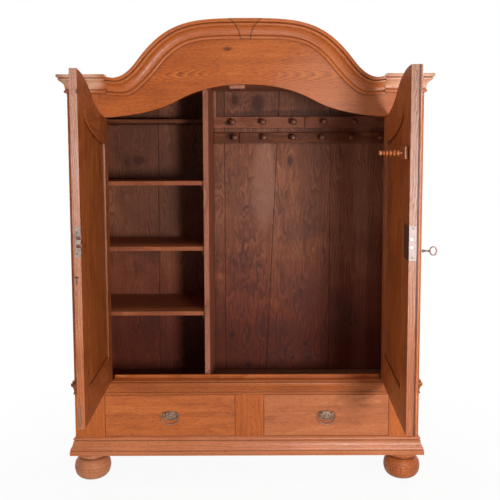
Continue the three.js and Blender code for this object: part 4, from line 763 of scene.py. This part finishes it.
FOOT_SHARES = smoothed(
    [(0, 0), (.46, 0), (.51, .01), (.76, .075), (.93, .2), (1, .38), (.985, .5), (.955, .585),
     (.94, .592), (.93, .6), (.87, .67), (.76, .745), (.72, .765), (.71, .785), (.78, .80), (.83, .83),
     (.845, .87), (.83, .915), (.8, .935), (.8, .955), (.83, .965), (.83, 1), (0, 1)],
    [1, 7, 8, 9, 11, 13, 18, 19, 20, 21])
PEG_SHARES = smoothed(
    [(0, 0), (.6, 0), (.6, .13), (.52, .15), (.44, .2), (.38, .4), (.4, .62), (.5, .69), (.72, .75),
     (.95, .81), (1, .86), (.93, .92), (.7, .97), (.35, .995), (0, 1)], [1, 2, 7])
TIE_SHARES = smoothed(
    [(0, 0), (.8, 0), (.8, .03), (.46, .05), (.42, .07), (.4, .14), (.56, .23), (.9, .262), (.95, .28),
     (.95, .31), (.45, .35), (.85, .38), (1, .42), (.85, .46), (.45, .49), (.8, .525), (.92, .56),
     (.8, .595), (.42, .63), (.8, .665), (.92, .7), (.8, .735), (.42, .76), (.7, .785), (.78, .81),
     (.7, .835), (.4, .86), (.7, .885), (.78, .91), (.78, .97), (.5, 1), (0, 1)],
    [1, 2, 3, 9, 10, 14, 18, 22, 26, 29])


# The two rows of pegs: the first peg's place, the pitch, and where the rail's boards meet
PEG_ROWS = {"upper_peg_rail": (-0.071, 0.1555, 0.30), "lower_peg_rail": (-0.059, 0.1486, -0.038)}
PEG_RAIL_FACE = 0.471  # behind the carcass front
PEG_SEAT = 0.008  # how deep a peg starts inside its rail
PEG_RADIUS = 0.016
PEG_LENGTH = 0.068
JOINT_HALF = 0.0012
# The tie peg on the right door, given on the shut door with depths from the carcass front
TIE_BLOCK = ((-0.001, 0.0283, 1.505), (0.099, 0.0423, 1.551))
TIE_SEAT = (0.029, 0.0343, 1.528)
TIE_RADIUS = 0.011
TIE_LENGTH = 0.097
FORWARD = Matrix.Rotation(math.pi / 2, 4, "X")


def add_feet(material):
    for name in ("left_front_foot", "right_front_foot", "left_rear_foot", "right_rear_foot"):
        low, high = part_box(name)
        outline = [(r * (high.x - low.x) / 2, z * (high.z - low.z)) for r, z in FOOT_SHARES]
        points, faces = lathe(outline, 72)
        middle = ((low.x + high.x) / 2, (low.y + high.y) / 2, low.z)
        show(name + "_turning", place_on(Matrix.Translation(middle), points), faces, material, "root",
             replaces=(name,), smooth=38)


def add_peg_rails(board_materials, peg_material):
    for name, (first, pitch, joint) in PEG_ROWS.items():
        low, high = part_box(name)
        face = FRONT + PEG_RAIL_FACE
        ends = ((low.x, joint - JOINT_HALF), (joint + JOINT_HALF, high.x))
        boards = [brick((x0, face, low.z), (x1, high.y, high.z)) for x0, x1 in ends]
        show(name + "_board", *gathered(boards), board_materials[name], "root", replaces=(name,),
             bevel=0.0015)
        outline = [(r * PEG_RADIUS, z * PEG_LENGTH) for r, z in PEG_SHARES]
        for i in range(6):
            seat = Matrix.Translation((first + i * pitch, face + PEG_SEAT, (low.z + high.z) / 2))
            points, faces = lathe(outline, 32)
            show(f"{name}_turning_{i + 1}", place_on(seat @ FORWARD, points), faces, peg_material, "root",
                 smooth=38)


def add_tie(material):
    """The turned peg for ties, and the block that it stands on."""
    place = door_place(1) @ Matrix.Translation((0, FRONT, 0))
    points, faces = brick(*TIE_BLOCK)
    show("tie_block", place_on(place, points), faces, material, "right_door", replaces=("tie_peg",),
         bevel=0.0025)
    seat = place @ Matrix.Translation(TIE_SEAT) @ FORWARD.inverted()
    points, faces = lathe([(r * TIE_RADIUS, z * TIE_LENGTH) for r, z in TIE_SHARES], 32)
    show("tie_turning", place_on(seat, points), faces, material, "right_door", smooth=38)


# Metalwork
# The pull's oval plate: shares of its half width from the rim inwards, and its rise there in metres
ROSE_SHARES = [1.0, 1.0, .975, .945, .915, .9, .86, .84, .81, .77, .74, .68, .6, .52, .44, .36, .3, .26,
               .2, .12, .05]
ROSE_RISES = [0.0, .0014, .0023, .0025, .0021, .0014, .0013, .0022, .0030, .0027, .0033, .0044, .0050,
              .0053, .0053, .0050, .0044, .0047, .0057, .0062, .0063]
ROSE_HALF_WIDTH, ROSE_HALF_HEIGHT = 0.036, 0.023
PULL_HEIGHT = 0.3195
# The posts' outline in metres, and their places from the plate's middle
POST_OUTLINE = smoothed(
    [(0, 0), (.0052, 0), (.0052, .002), (.0042, .0035), (.0042, .0048), (.0052, .006), (.0055, .0085),
     (.005, .0115), (.0034, .0135), (.0015, .014), (0, .014)], [1, 3])
POST_X, POST_Z = 0.027, 0.012
# The bail: its pivots' reach in front of the drawer, its bow's half axes and rise, and its wire
BAIL_REACH = 0.008
BOW_WIDE, BOW_TALL, BOW_RAISED = 0.042, 0.036, 0.016
BAIL_ENDS = (0.0245, 0.028, 0.0325)
WIRE = 0.0019
WIRE_SWELL = 0.0008


def add_rose(name, middle, material):
    """The oval plate with its pressed pattern, and the two posts."""
    rings = []
    for share, rise in zip(ROSE_SHARES, ROSE_RISES):
        ring = []
        for j in range(72):
            a = 2 * math.pi * j / 72
            lift = rise
            if 0.4 < share < 0.75:
                lift -= 0.0011 * (0.5 + 0.5 * math.cos(10 * a)) * math.sin((share - 0.4) / 0.35 * math.pi)
            if 0.78 < share < 0.86:
                lift -= 0.0005 * (0.5 + 0.5 * math.cos(36 * a))
            ring.append((middle.x + ROSE_HALF_WIDTH * share * math.cos(a), FRONT - lift,
                         middle.z + ROSE_HALF_HEIGHT * share * math.sin(a)))
        rings.append(ring)
    parts = [skin(rings)]
    for x in (-POST_X, POST_X):
        seat = Matrix.Translation((middle.x + x, FRONT, middle.z + POST_Z))
        points, faces = lathe(POST_OUTLINE, 24)
        parts.append((place_on(seat @ FORWARD, points), faces))
    show(f"{name}_pull_rose", *gathered(parts), material, f"{name}_drawer", smooth=50,
         replaces=(f"{name}_pull_plate",))


def add_bail(name, middle, material):
    """The hanging bow, thicker and beaded at its lowest point."""
    axis = Vector((middle.x, FRONT - BAIL_REACH, middle.z + POST_Z))
    start = math.asin(BOW_RAISED / BOW_TALL)
    steps = 60
    path = [(x, 0) for x in BAIL_ENDS]
    radii = [WIRE] * len(path)
    for i in range(2, steps - 1):
        a = start - (math.pi + 2 * start) * i / steps
        path.append((BOW_WIDE * math.cos(a), BOW_TALL * math.sin(a) - BOW_RAISED))
        off = a + math.pi / 2
        bead = 1.0 + 0.16 * max(0.0, math.cos(off * 8)) * (abs(off) < 0.2)
        radii.append((WIRE + WIRE_SWELL * max(0.0, -math.sin(a))) * bead)
    path += [(-x, 0) for x in reversed(BAIL_ENDS)]
    radii += [WIRE] * len(BAIL_ENDS)
    points, faces = sweep([axis + Vector((x, 0, z)) for x, z in path], radii, 14)
    show(f"{name}_bail_bow", points, faces, material, f"{name}_bail", smooth=60,
         replaces=(f"{name}_bail",))


def add_pull(name, plate_material, bail_material):
    low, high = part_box(f"{name}_pull_plate")
    middle = Vector(((low.x + high.x) / 2, FRONT, PULL_HEIGHT))
    add_rose(name, middle, plate_material)
    add_bail(name, middle, bail_material)


SCREW_SHARES = [(.7, -1), (1, 0), (.96, .25), (.6, .45), (.25, .5)]
SCREW_RADIUS, SCREW_HEIGHT = 0.0042, 0.0016


def slotted_screw(radius, height):
    """A countersunk screw's head with its slot, facing +Z."""
    rings = []
    sides = 28
    for reach_share, height_share in SCREW_SHARES:
        reach = radius * reach_share
        z = height * height_share
        ring = []
        for j in range(sides):
            a = 2 * math.pi * j / sides
            x, y = reach * math.cos(a), reach * math.sin(a)
            in_slot = abs(y) < radius * 0.16 and z > -height * .5
            ring.append((x, y, z - (height * 0.9 if in_slot else 0)))
        rings.append(ring)
    return skin(rings)


# Screw heads, in the photograph's pixels, with the piece that carries each and the turn of its slot
SCREW_PIXELS = {
    "lock_case": [((413.2, 229.0), 0.5), ((412.2, 258.4), 2.1)],
    "strike_plate": [((76.6, 231.4), 1.1), ((76.8, 253.4), 0.2)],
    "upper_peg_rail_board": [((307, 122.8), 0.8)],
    "lower_peg_rail_board": [((306.5, 137.5), 2.4)],
}


def add_screws(material):
    """Screws let into the metal and the peg rails, each flush with the surface that carries it."""
    for carrier, screws in SCREW_PIXELS.items():
        owner = NODES.get(carrier) or bpy.data.objects[carrier]
        body = {"lock_case": "right_door", "strike_plate": "left_door"}.get(carrier, "root")
        for i, (pixel, turn) in enumerate(screws):
            hit, normal = seen_at(owner, *pixel)
            if hit is None:
                continue
            lean = normal.to_track_quat("Z", "Y").to_matrix().to_4x4()
            points, faces = slotted_screw(SCREW_RADIUS, SCREW_HEIGHT)
            place = Matrix.Translation(hit) @ lean @ Matrix.Rotation(turn, 4, "Z")
            show(f"{carrier}_screw_{i + 1}", place_on(place, points), faces, material, body, smooth=40)


# End of the left door's lower tenon, in the photograph's pixels, with half its height in metres
TENON_PIXELS = [((78.9, 416.0), 0.038)]
TENON_HALF = 0.0045  # half the tenon's thickness
TENON_DEPTH = 0.002  # how far its end block reaches into the stile


def add_tenons(material, joint):
    """The tenon's end in the edge of the left door's meeting stile, with a dark joint round it."""
    place = door_place(-1)
    for i, (pixel, half) in enumerate(TENON_PIXELS):
        hit, _ = seen_at(NODES["left_door_meeting_stile"], *pixel)
        if hit is None:
            continue
        spot = place.inverted() @ hit
        kinds = (("end", 0.0, 0.0006, material), ("joint", 0.0012, 0.0003, joint))
        for name, wider, proud, finish in kinds:
            thick = TENON_HALF + wider
            tall = half + wider
            points, faces = brick((spot.x - TENON_DEPTH, spot.y - thick, spot.z - tall),
                                  (spot.x + proud, spot.y + thick, spot.z + tall))
            show(f"left_tenon_{i + 1}_{name}", place_on(place, points), faces, finish, "left_door",
                 bevel=0.00015)


# Where the photograph shows nail heads, in its pixels, and the run that carries them
NAIL_PIXELS = {
    "cornice_left_run": [(163.8, 56), (197, 38.5), (104, 80.5), (124, 82)],
    "cornice_right_run": [(296, 29.5), (315, 35), (366, 70)],
    "waist_run": [(138.3, 384.6), (178.6, 384.8), (156, 391), (198.6, 391), (233.4, 384.5), (266.7, 383.9),
                  (309.7, 384), (352.2, 383.9)],
    "base_run": [(104, 444), (119, 444), (147, 444), (158.5, 442.5), (179.8, 451.5), (224.5, 451.3),
                 (300, 444), (352, 451)],
}


# A nail head's outline, in metres
NAIL_OUTLINE = [(0, -.003), (.0016, -.003), (.0024, -.0002), (.0022, .0003), (.0012, .0005), (0, .0005)]


def photo_ray(px, py):
    """The direction in which the photograph's camera sees a pixel."""
    across = (px - CENTRE_PX[0]) / FOCAL_PX
    up = -(py - CENTRE_PX[1]) / FOCAL_PX
    tilt = math.radians(PITCH)
    return Vector((across, up * math.sin(tilt) + math.cos(tilt), up * math.cos(tilt) - math.sin(tilt)))


def seen_at(owner, px, py):
    """Where the photograph's pixel meets a piece and which way it looks there, or None for both."""
    points = [owner.matrix_world @ v.co for v in owner.data.vertices]
    surface = BVHTree.FromPolygons(points, [tuple(f.vertices) for f in owner.data.polygons])
    return surface.ray_cast(EYE, photo_ray(px, py))[:2]


def add_nails(material):
    """Nail heads let into the mouldings, each flush with the surface that carries it."""
    parts = []
    for carrier, pixels in NAIL_PIXELS.items():
        for px, py in pixels:
            hit, normal = seen_at(bpy.data.objects[carrier], px, py)
            if hit is None:
                continue
            lean = normal.to_track_quat("Z", "Y").to_matrix().to_4x4()
            points, faces = lathe(NAIL_OUTLINE, 14)
            parts.append((place_on(Matrix.Translation(hit) @ lean, points), faces))
    show("moulding_nails", *gathered(parts), material, "root", smooth=40)


# The key's shaft in metres from the door's face, its bit, and the size of its bow
KEY_OUTLINE = smoothed(
    [(0, -.022), (.0028, -.022), (.0032, -.02), (.0032, .0255), (.0044, .026), (.0058, .028), (.0058, .030),
     (.0044, .032), (.0036, .0325), (.0048, .0335), (.0048, .0345), (.0034, .036), (.0030, .045),
     (.0034, .048), (.0042, .0495), (.0034, .0515), (.0026, .0535), (0, .054)], [3, 8, 11])
KEY_BIT = ((-0.0012, 0.0, -0.022), (0.0012, 0.0062, -0.016))
KEY_REACH = 0.081
KEY_BOW_RADIUS = 0.016
KEY_BOW_WIRE = 0.0026
KEY_SQUEEZE_SHARE = 0.74


def add_key(material):
    """The key in the shut door's frame: a turned shaft with collars, a bit in the lock and an oval bow."""
    low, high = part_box("key")
    height = (low.z + high.z) / 2
    place = door_place(1)
    axis = place.inverted() @ Vector(((low.x + high.x) / 2, (low.y + high.y) / 2, height))
    short = KEY_BOW_RADIUS * KEY_SQUEEZE_SHARE
    middle = KEY_REACH - KEY_BOW_WIRE - short
    path = []
    radii = []
    for i in range(56):
        a = 2 * math.pi * i / 56
        bulge = 1 + 0.05 * math.cos(a * 2)
        path.append((0, KEY_BOW_RADIUS * math.sin(a) * bulge, middle - short * math.cos(a)))
        radii.append(0.0021 + 0.0005 * abs(math.cos(a)))
    bow = sweep(path, radii, 14, closed=True)
    points, faces = gathered([lathe(KEY_OUTLINE, 28), bow, brick(*KEY_BIT)])
    seat = place @ Matrix.Translation((axis.x, FRONT, height)) @ FORWARD
    show("key_forging", place_on(seat, points), faces, material, "key", smooth=45, replaces=("key",))


# Profiles of the waist and base mouldings, as shares of their reach and height
WAIST_SHARES = [(0, .03), (.3, .03), (.34, .05), (.34, .13), (.3, .15), (.1, .155), (.1, .185),
                (.16, .19), (.16, .28), (.24, .4), (.5, .54), (.84, .62), (.84, .645), (.94, .65),
                (1, .72), (.99, .8), (.9, .86), (.5, .875), (.5, .9), (.56, .92), (.56, .98), (.5, 1),
                (0, 1)]
BASE_SHARES = [(0, 0), (.97, 0), (1, .03), (1, .22), (.98, .245), (.88, .25), (.88, .275), (.93, .3),
               (.9, .35), (.75, .44), (.52, .57), (.41, .7), (.4, .78), (.27, .79), (.27, .845),
               (.4, .855), (.37, .91), (.24, .955), (.1, .975), (0, 1)]
WAIST_CORNERS = [1, 4, 5, 6, 7, 11, 12, 13, 16, 17, 18, 21]
BASE_CORNERS = [1, 2, 3, 5, 6, 7, 12, 13, 14, 15]


def mm(x, y, z):
    """A place in the row frame from millimetres, with y counted from the carcass front."""
    return (x / 1000, FRONT + y / 1000, z / 1000)


# Each door's side, turn, seed, the painted shade on its inner face and on its edge, and the tint of the
# painted sheen on its edge
DOORS = {
    "left_door": (1, -LEFT_ANGLE, 20.0, 0.46, 0.82, (1.12, 2.18, 7.4, 1.0)),
    "right_door": (-1, RIGHT_ANGLE, 24.0, 0.7, 0.75, (0.93, 1.92, 6.7, 1.0)),
}
# Knots, scratches and stains on the left door's stiles, and painted shade on the lower part of the right
# door's meeting stile
DOOR_MARKS = {
    "left_door": [
        (mm(-624, -602, 1071), (0.012, 0.02, 0.005), srgb(40, 18, 12), 0.9),
        (mm(-624, -602, 1055), (0.004, 0.02, 0.018), srgb(60, 30, 20), 0.8),
        (mm(-605, -600, 1755), (0.012, 0.03, 0.016), srgb(60, 26, 16), 0.8),
        (mm(-609, -533, 549), (0.02, 0.012, 0.012), srgb(40, 16, 10), 0.8)],
    # painted shade over the lower part of the right door's meeting edge
    "right_door": [(mm(617, -645, 640), (0.08, 0.05, 0.62), srgb(112, 50, 16), 0.26)],
}
# The back's inner face: the joints of its boards, then knots as (x, z, half width, half height), then
# colour patches as (x, z, half width, half height, colour, share)
BACK_FACE = 491
BACK_JOINTS = [(-0.470, -0.458, 0.40, 1.884), (-0.116, -0.116, 0.40, 1.884), (0.086, 0.170, 0.40, 1.884),
               (0.432, 0.434, 0.40, 1.884)]
BACK_KNOTS = [(-625, 1495, 0.016, 0.024), (-562, 1506, 0.036, 0.026), (-683, 1692, 0.020, 0.011),
              (225, 1500, 0.016, 0.030), (57, 1796, 0.034, 0.05), (-62, 1815, 0.02, 0.03),
              (-83, 580, 0.014, 0.018), (306, 530, 0.012, 0.012), (239, 456, 0.010, 0.010),
              (327, 454, 0.010, 0.010), (6, 418, 0.015, 0.012)]
# Painted shade over the left bay, a painted sheen and painted shade to its right in the right bay, a darker
# band near the top, and the painted shadow of the upper peg rail on the back just above it
BACK_PATCHES = [(-480, 1420, 0.38, 0.6, scaled(PINE[0], 0.7), 0.5),
               (90, 1400, 0.075, 0.34, srgb(190, 142, 122), 0.28),
               (330, 1450, 0.11, 0.5, scaled(PINE[0], 0.8), 0.4),
               (150, 1815, 0.75, 0.075, scaled(PINE[0], 0.55), 0.5),
               (280, 1742, 0.55, 0.03, scaled(PINE[0], 0.5), 0.7)]
TOWARDS_FRONT = (0.0, -1.0, 0.0)


# Settings that several woods share
PLAIN_PINE = {"pith": (0.2, 0.1), "ring": 0.012, "wear": 0.3}
TURNED_PEG = {"pith": (0.2, 0.3), "ring": 0.005, "rough": 0.35}


def dress_carcass():
    stile = wood("oak_stile", OAK, "Z", seed=1.3, pith=(FRONT + 0.2, -0.9), ring=0.014, rings=0.08,
                 streak=0.22)
    for name in ("left_front_stile", "right_front_stile", "drawer_muntin"):
        dress(name, stile)
    side = wood("oak_side", OAK_WARM, "Z", seed=4.1, pith=(0.2, 1.5), ring=0.010)
    for name in ("left_side", "right_side"):
        dress(name, side)
    rail = wood("oak_rail", OAK, "X", seed=2.2, pith=(0.4, 0.3), ring=0.008)
    for name in ("waist_rail", "base_rail", "threshold"):
        dress(name, rail)
    dress("frieze_board", wood(
        "oak_frieze", OAK_FRIEZE, "X", pith=(FRONT + 0.012, 1.887), tilt=0.0, ring=0.0050, rings=0.24,
        warp=0.022, fleck=0.36, streak=0.34, dome=(-0.062, 0.277), shade=0.95,
        # a painted sheen on the frieze's right half
        spots=[(mm(430, 0, 1830), (0.36, 0.1, 0.22), srgb(180, 120, 88), 0.3)],
        knots=[(mm(-80, 0, 1998), (0.020, 0.05, 0.010))]))


def dress_mouldings():
    # The mouldings' hollows take dirt and painted shade.
    waist = wood("oak_waist", OAK, "ATTRIBUTE", seed=5.2, pith=(0.3, 0.2), ring=0.009, rings=0.1, dirt_and_shade=1.0,
                 wear=0.8, shade=0.78)
    add_run("waist_run", "waist_moulding", WAIST_SHARES, WAIST_CORNERS, waist, 5.0)
    base = wood("oak_base", OAK_BASE, "ATTRIBUTE", seed=6.4, pith=(0.3, 0.1), ring=0.010, rings=0.1,
                dirt_and_shade=1.0, wear=0.7, gloss=0.45, rough=0.36, shade=0.95)
    add_run("base_run", "base_moulding", BASE_SHARES, BASE_CORNERS, base, 6.0)
    glare = srgb(232, 190, 164)
    cornice = wood("oak_cornice", OAK, "ATTRIBUTE", seed=3.3, pith=(0.3, 0.2), ring=0.009, rings=0.12,
                   dirt_and_shade=1.0, wear=0.8, gloss=0.42, rough=0.36, shade=0.93,
                   spots=[(mm(-740, -30, 1855), (0.13, 0.12, 0.06), glare, 0.55),
                          (mm(740, -30, 1855), (0.16, 0.12, 0.06), glare, 0.6)])
    add_cornice(cornice)
    add_keystone(cornice, wood("joint_dirt", OAK, "ATTRIBUTE", seed=3.3, wear=0.0, shade=0.25))


def dress_tenons():
    add_tenons(wood("tenon_ends", OAK_PINK, "Z", -LEFT_ANGLE, seed=27.0, pith=(0.2, 0.3), ring=0.005,
                    shade=0.72),
               wood("tenon_joints", OAK_PINK, "Z", -LEFT_ANGLE, seed=28.0, wear=0.0, shade=0.2))


def dress_feet():
    ink = TURNED[0]
    add_feet(wood(
        "turned_foot", TURNED, "Z", seed=7.7, pith=(0.1, 0.9), ring=0.006, dirt_and_shade=0.9,
        # the first patch is a painted highlight on the left front foot; then two dark rings and a crack
        spots=[(mm(-700, -20, 60), (0.16, 0.16, 0.12), srgb(226, 170, 132), 0.27),
               (mm(0, 0, 62.6), (5, 5, 0.0014), scaled(ink, 0.4), 0.7),
               (mm(0, 0, 51), (5, 5, 0.0012), scaled(ink, 0.5), 0.6),
               (mm(-737, -40, 50), (0.0012, 0.1, 0.026), scaled(ink, 0.3), 0.8)]))


def dress_inside(inner):
    back = wood(
        "pine_back", PINE, "Z", pith=(0.0, 0.02), tilt=0.01, ring=0.009, rings=0.26, boards=BACK_JOINTS,
        wear=0.2, rough=0.6, blotch=0.34, warp=0.05, gloss=0.3, fade=(0.55, 1.30, 0.39, 2.5, TOWARDS_FRONT),
        spots=[(mm(x, BACK_FACE, z), (wide, 0.012, tall), ink, share)
               for x, z, wide, tall, ink, share in BACK_PATCHES],
        knots=[(mm(x, BACK_FACE, z), (wide, 0.05, tall)) for x, z, wide, tall in BACK_KNOTS])
    dress("back_boards", back, 0.0008)
    dress("roof_boards", wood("pine_roof", PINE, "X", seed=12.0, pith=(0.3, 0.2), ring=0.012, wear=0.3,
                              rough=0.6))
    dress("floor_boards", inner)
    dress("drawer_bed", inner)
    dress("stop_block", wood("oak_stop", OAK_PINK, "X", seed=14.0, pith=(0.2, 0.1), rings=0.1))
    dress("divider", wood("pine_divider", PINE_EDGE, "Z", seed=3.6, pith=(0.3, 0.2), ring=0.012, wear=0.4,
                          rough=0.55))
    # the top shelf takes a darker copy of the shelf wood, as painted shade
    dress("shelf_1", wood("pine_top_shelf", PINE_SHELF, "X", seed=9.9, pith=(0.2, 0.1), ring=0.012,
                          shade=0.58, rough=0.55, gloss=0.2))
    shelf = wood("pine_shelf", PINE_SHELF, "X", seed=9.1, rough=0.55, **PLAIN_PINE)
    for name in ("shelf_2", "shelf_3", "shelf_4"):
        dress(name, shelf)
    worn = {"blotch": 0.3, "rough": 0.5, "gloss": 0.15, **PLAIN_PINE}
    ink = scaled(PINE[0], 0.3)
    boards = {
        # each rail takes a painted shadow at its left end, round its first peg
        "upper_peg_rail": wood("pine_upper_rail", PINE_EDGE, "X", seed=13.0, shade=0.8, **worn,
                               spots=[(mm(-92, 471, 1695), (0.034, 0.03, 0.020), ink, 0.8)]),
        "lower_peg_rail": wood("pine_lower_rail", PINE_SHELF, "X", seed=13.6, shade=0.52, **worn,
                               spots=[(mm(-86, 471, 1627), (0.036, 0.03, 0.020), ink, 0.8)]),
    }
    add_peg_rails(boards, wood("rail_pegs", PINE_EDGE, "Y", seed=33.0, shade=0.5, **TURNED_PEG))


def edge_way(door):
    """The way that a door's meeting edge looks at rest."""
    side, turn = DOORS[door][:2]
    return (side * math.cos(turn), side * math.sin(turn), 0.0)


# Painted sheen on a door's meeting edge, less lower down.
def edge_painted_sheen(door):
    return (edge_way(door), DOORS[door][-1], 0.6, 1.5, 0.16)


def dress_doors():
    for door, (_, turn, seed, dusk, edge_dusk, _) in DOORS.items():
        inward = (-math.sin(turn), math.cos(turn), 0.0)
        # painted sheen on the meeting edge, and painted shade on the inner face and on the edge
        shared = {"turn": turn, "pith": (0.2, 0.3), "ring": 0.008, "painted_sheen": edge_painted_sheen(door),
                  "painted_shade": [(inward, dusk, 0.3), (edge_way(door), edge_dusk, 0.1)]}
        stile = wood(f"oak_{door}_stile", OAK_WARM, "Z", seed=seed, spots=DOOR_MARKS[door], **shared)
        dress(f"{door}_hinge_stile", stile)
        dress(f"{door}_meeting_stile", stile)
        rail = wood(f"oak_{door}_rail", OAK_WARM, "X", seed=seed + 1, **shared)
        dress(f"{door}_top_rail", rail)
        dress(f"{door}_bottom_rail", rail)
        # the panel's inner face takes painted shade too
        dress(f"{door}_panel", wood(f"oak_{door}_panel", OAK, "Z", turn, seed=seed + 2, pith=(0.1, 0.4),
                                    ring=0.010, streak=0.42, blotch=0.2, painted_shade=[(inward, dusk, 0.1)]))
    # a painted shadow along the recess beside the astragal, which also takes the right door's painted sheen
    gap_shadow = (mm(622.6, -679, 1150), (0.0026, 0.03, 3.0), srgb(44, 16, 12), 0.95)
    dress("astragal", wood("oak_astragal", OAK_WARM, "Z", RIGHT_ANGLE, seed=30.0, pith=(0.2, 0.3),
                           ring=0.007, painted_sheen=edge_painted_sheen("right_door"), spots=[gap_shadow]))
    add_tie(wood("turned_peg", TURNED, "Z", seed=31.0, shade=0.74, **TURNED_PEG))


def dress_drawers(inner):
    shared = {"ring": 0.010, "fleck": 0.3, "streak": 0.34, "rings": 0.1, "blotch": 0.07}
    fronts = {
        "left": wood("oak_left_drawer", OAK_WARM, "X", seed=40.0, pith=(0.5, 0.3), **shared),
        # the right drawer front takes a less saturated tone than the left, as a painted sheen
        "right": wood("oak_right_drawer", OAK_BASE, "X", seed=44.0, pith=(0.5, 0.5), shade=0.88, **shared),
    }
    brass = metal("old_brass", tones((70, 50, 38), (124, 95, 76), (166, 136, 114)), 0.42, 0.5, patina=0.9)
    bail = metal("bail_brass", tones((84, 62, 48), (138, 108, 88), (190, 160, 136)), 0.36, 0.5, seed=2.0)
    for name, front in fronts.items():
        dress(f"{name}_drawer_front", front)
        dress(f"{name}_drawer_box", inner)
        add_pull(name, brass, bail)


def dress_metalwork():
    steel = metal("old_steel", tones((98, 84, 78), (146, 130, 124), (178, 162, 156)), 0.5, 0.25)
    copper = metal("socket_copper", tones((120, 66, 44), (196, 132, 98), (222, 168, 134)), 0.4, 0.8)
    for side in ("left", "right"):
        dress(f"{side}_socket_plate", copper, 0.0002)
        dress(f"{side}_door_upper_pin", steel, 0.0002)
        dress(f"{side}_door_lower_pin", steel, 0.0002)
    dress("strike_plate", steel, 0.0003)
    # painted shade on the lock case's inward face
    dress("lock_case", metal("lock_steel", tones((98, 82, 78), (140, 122, 118), (168, 152, 148)), 0.5, 0.25,
                             painted_shade=[((-1.0, 0.0, 0.0), 0.22, 1.6)]), 0.0003)
    bolt = metal("bolt_steel", tones((150, 144, 140), (190, 184, 180), (215, 210, 206)), 0.4, 0.2)
    dress("lock_bolts", bolt, 0.0006)
    add_key(metal("key_iron", tones((60, 42, 36), (112, 86, 76), (150, 124, 112)), 0.4, 0.8))
    add_nails(metal("nail_iron", tones((40, 22, 14), (70, 40, 26), (104, 66, 46)), 0.6, 0.2))
    add_screws(metal("screw_iron", tones((58, 44, 38), (96, 76, 66), (140, 120, 108)), 0.45, 0.4))


def dress_all():
    inner = wood("pine_inside", PINE, "X", seed=8.3, rough=0.6, shade=0.6, **PLAIN_PINE)
    dress_carcass()
    dress_mouldings()
    dress_tenons()
    dress_feet()
    dress_inside(inner)
    dress_doors()
    dress_drawers(inner)
    dress_metalwork()


dress_all()
add_camera()
add_light()
add_floor()

scene = bpy.context.scene
scene.view_settings.view_transform = "Standard"
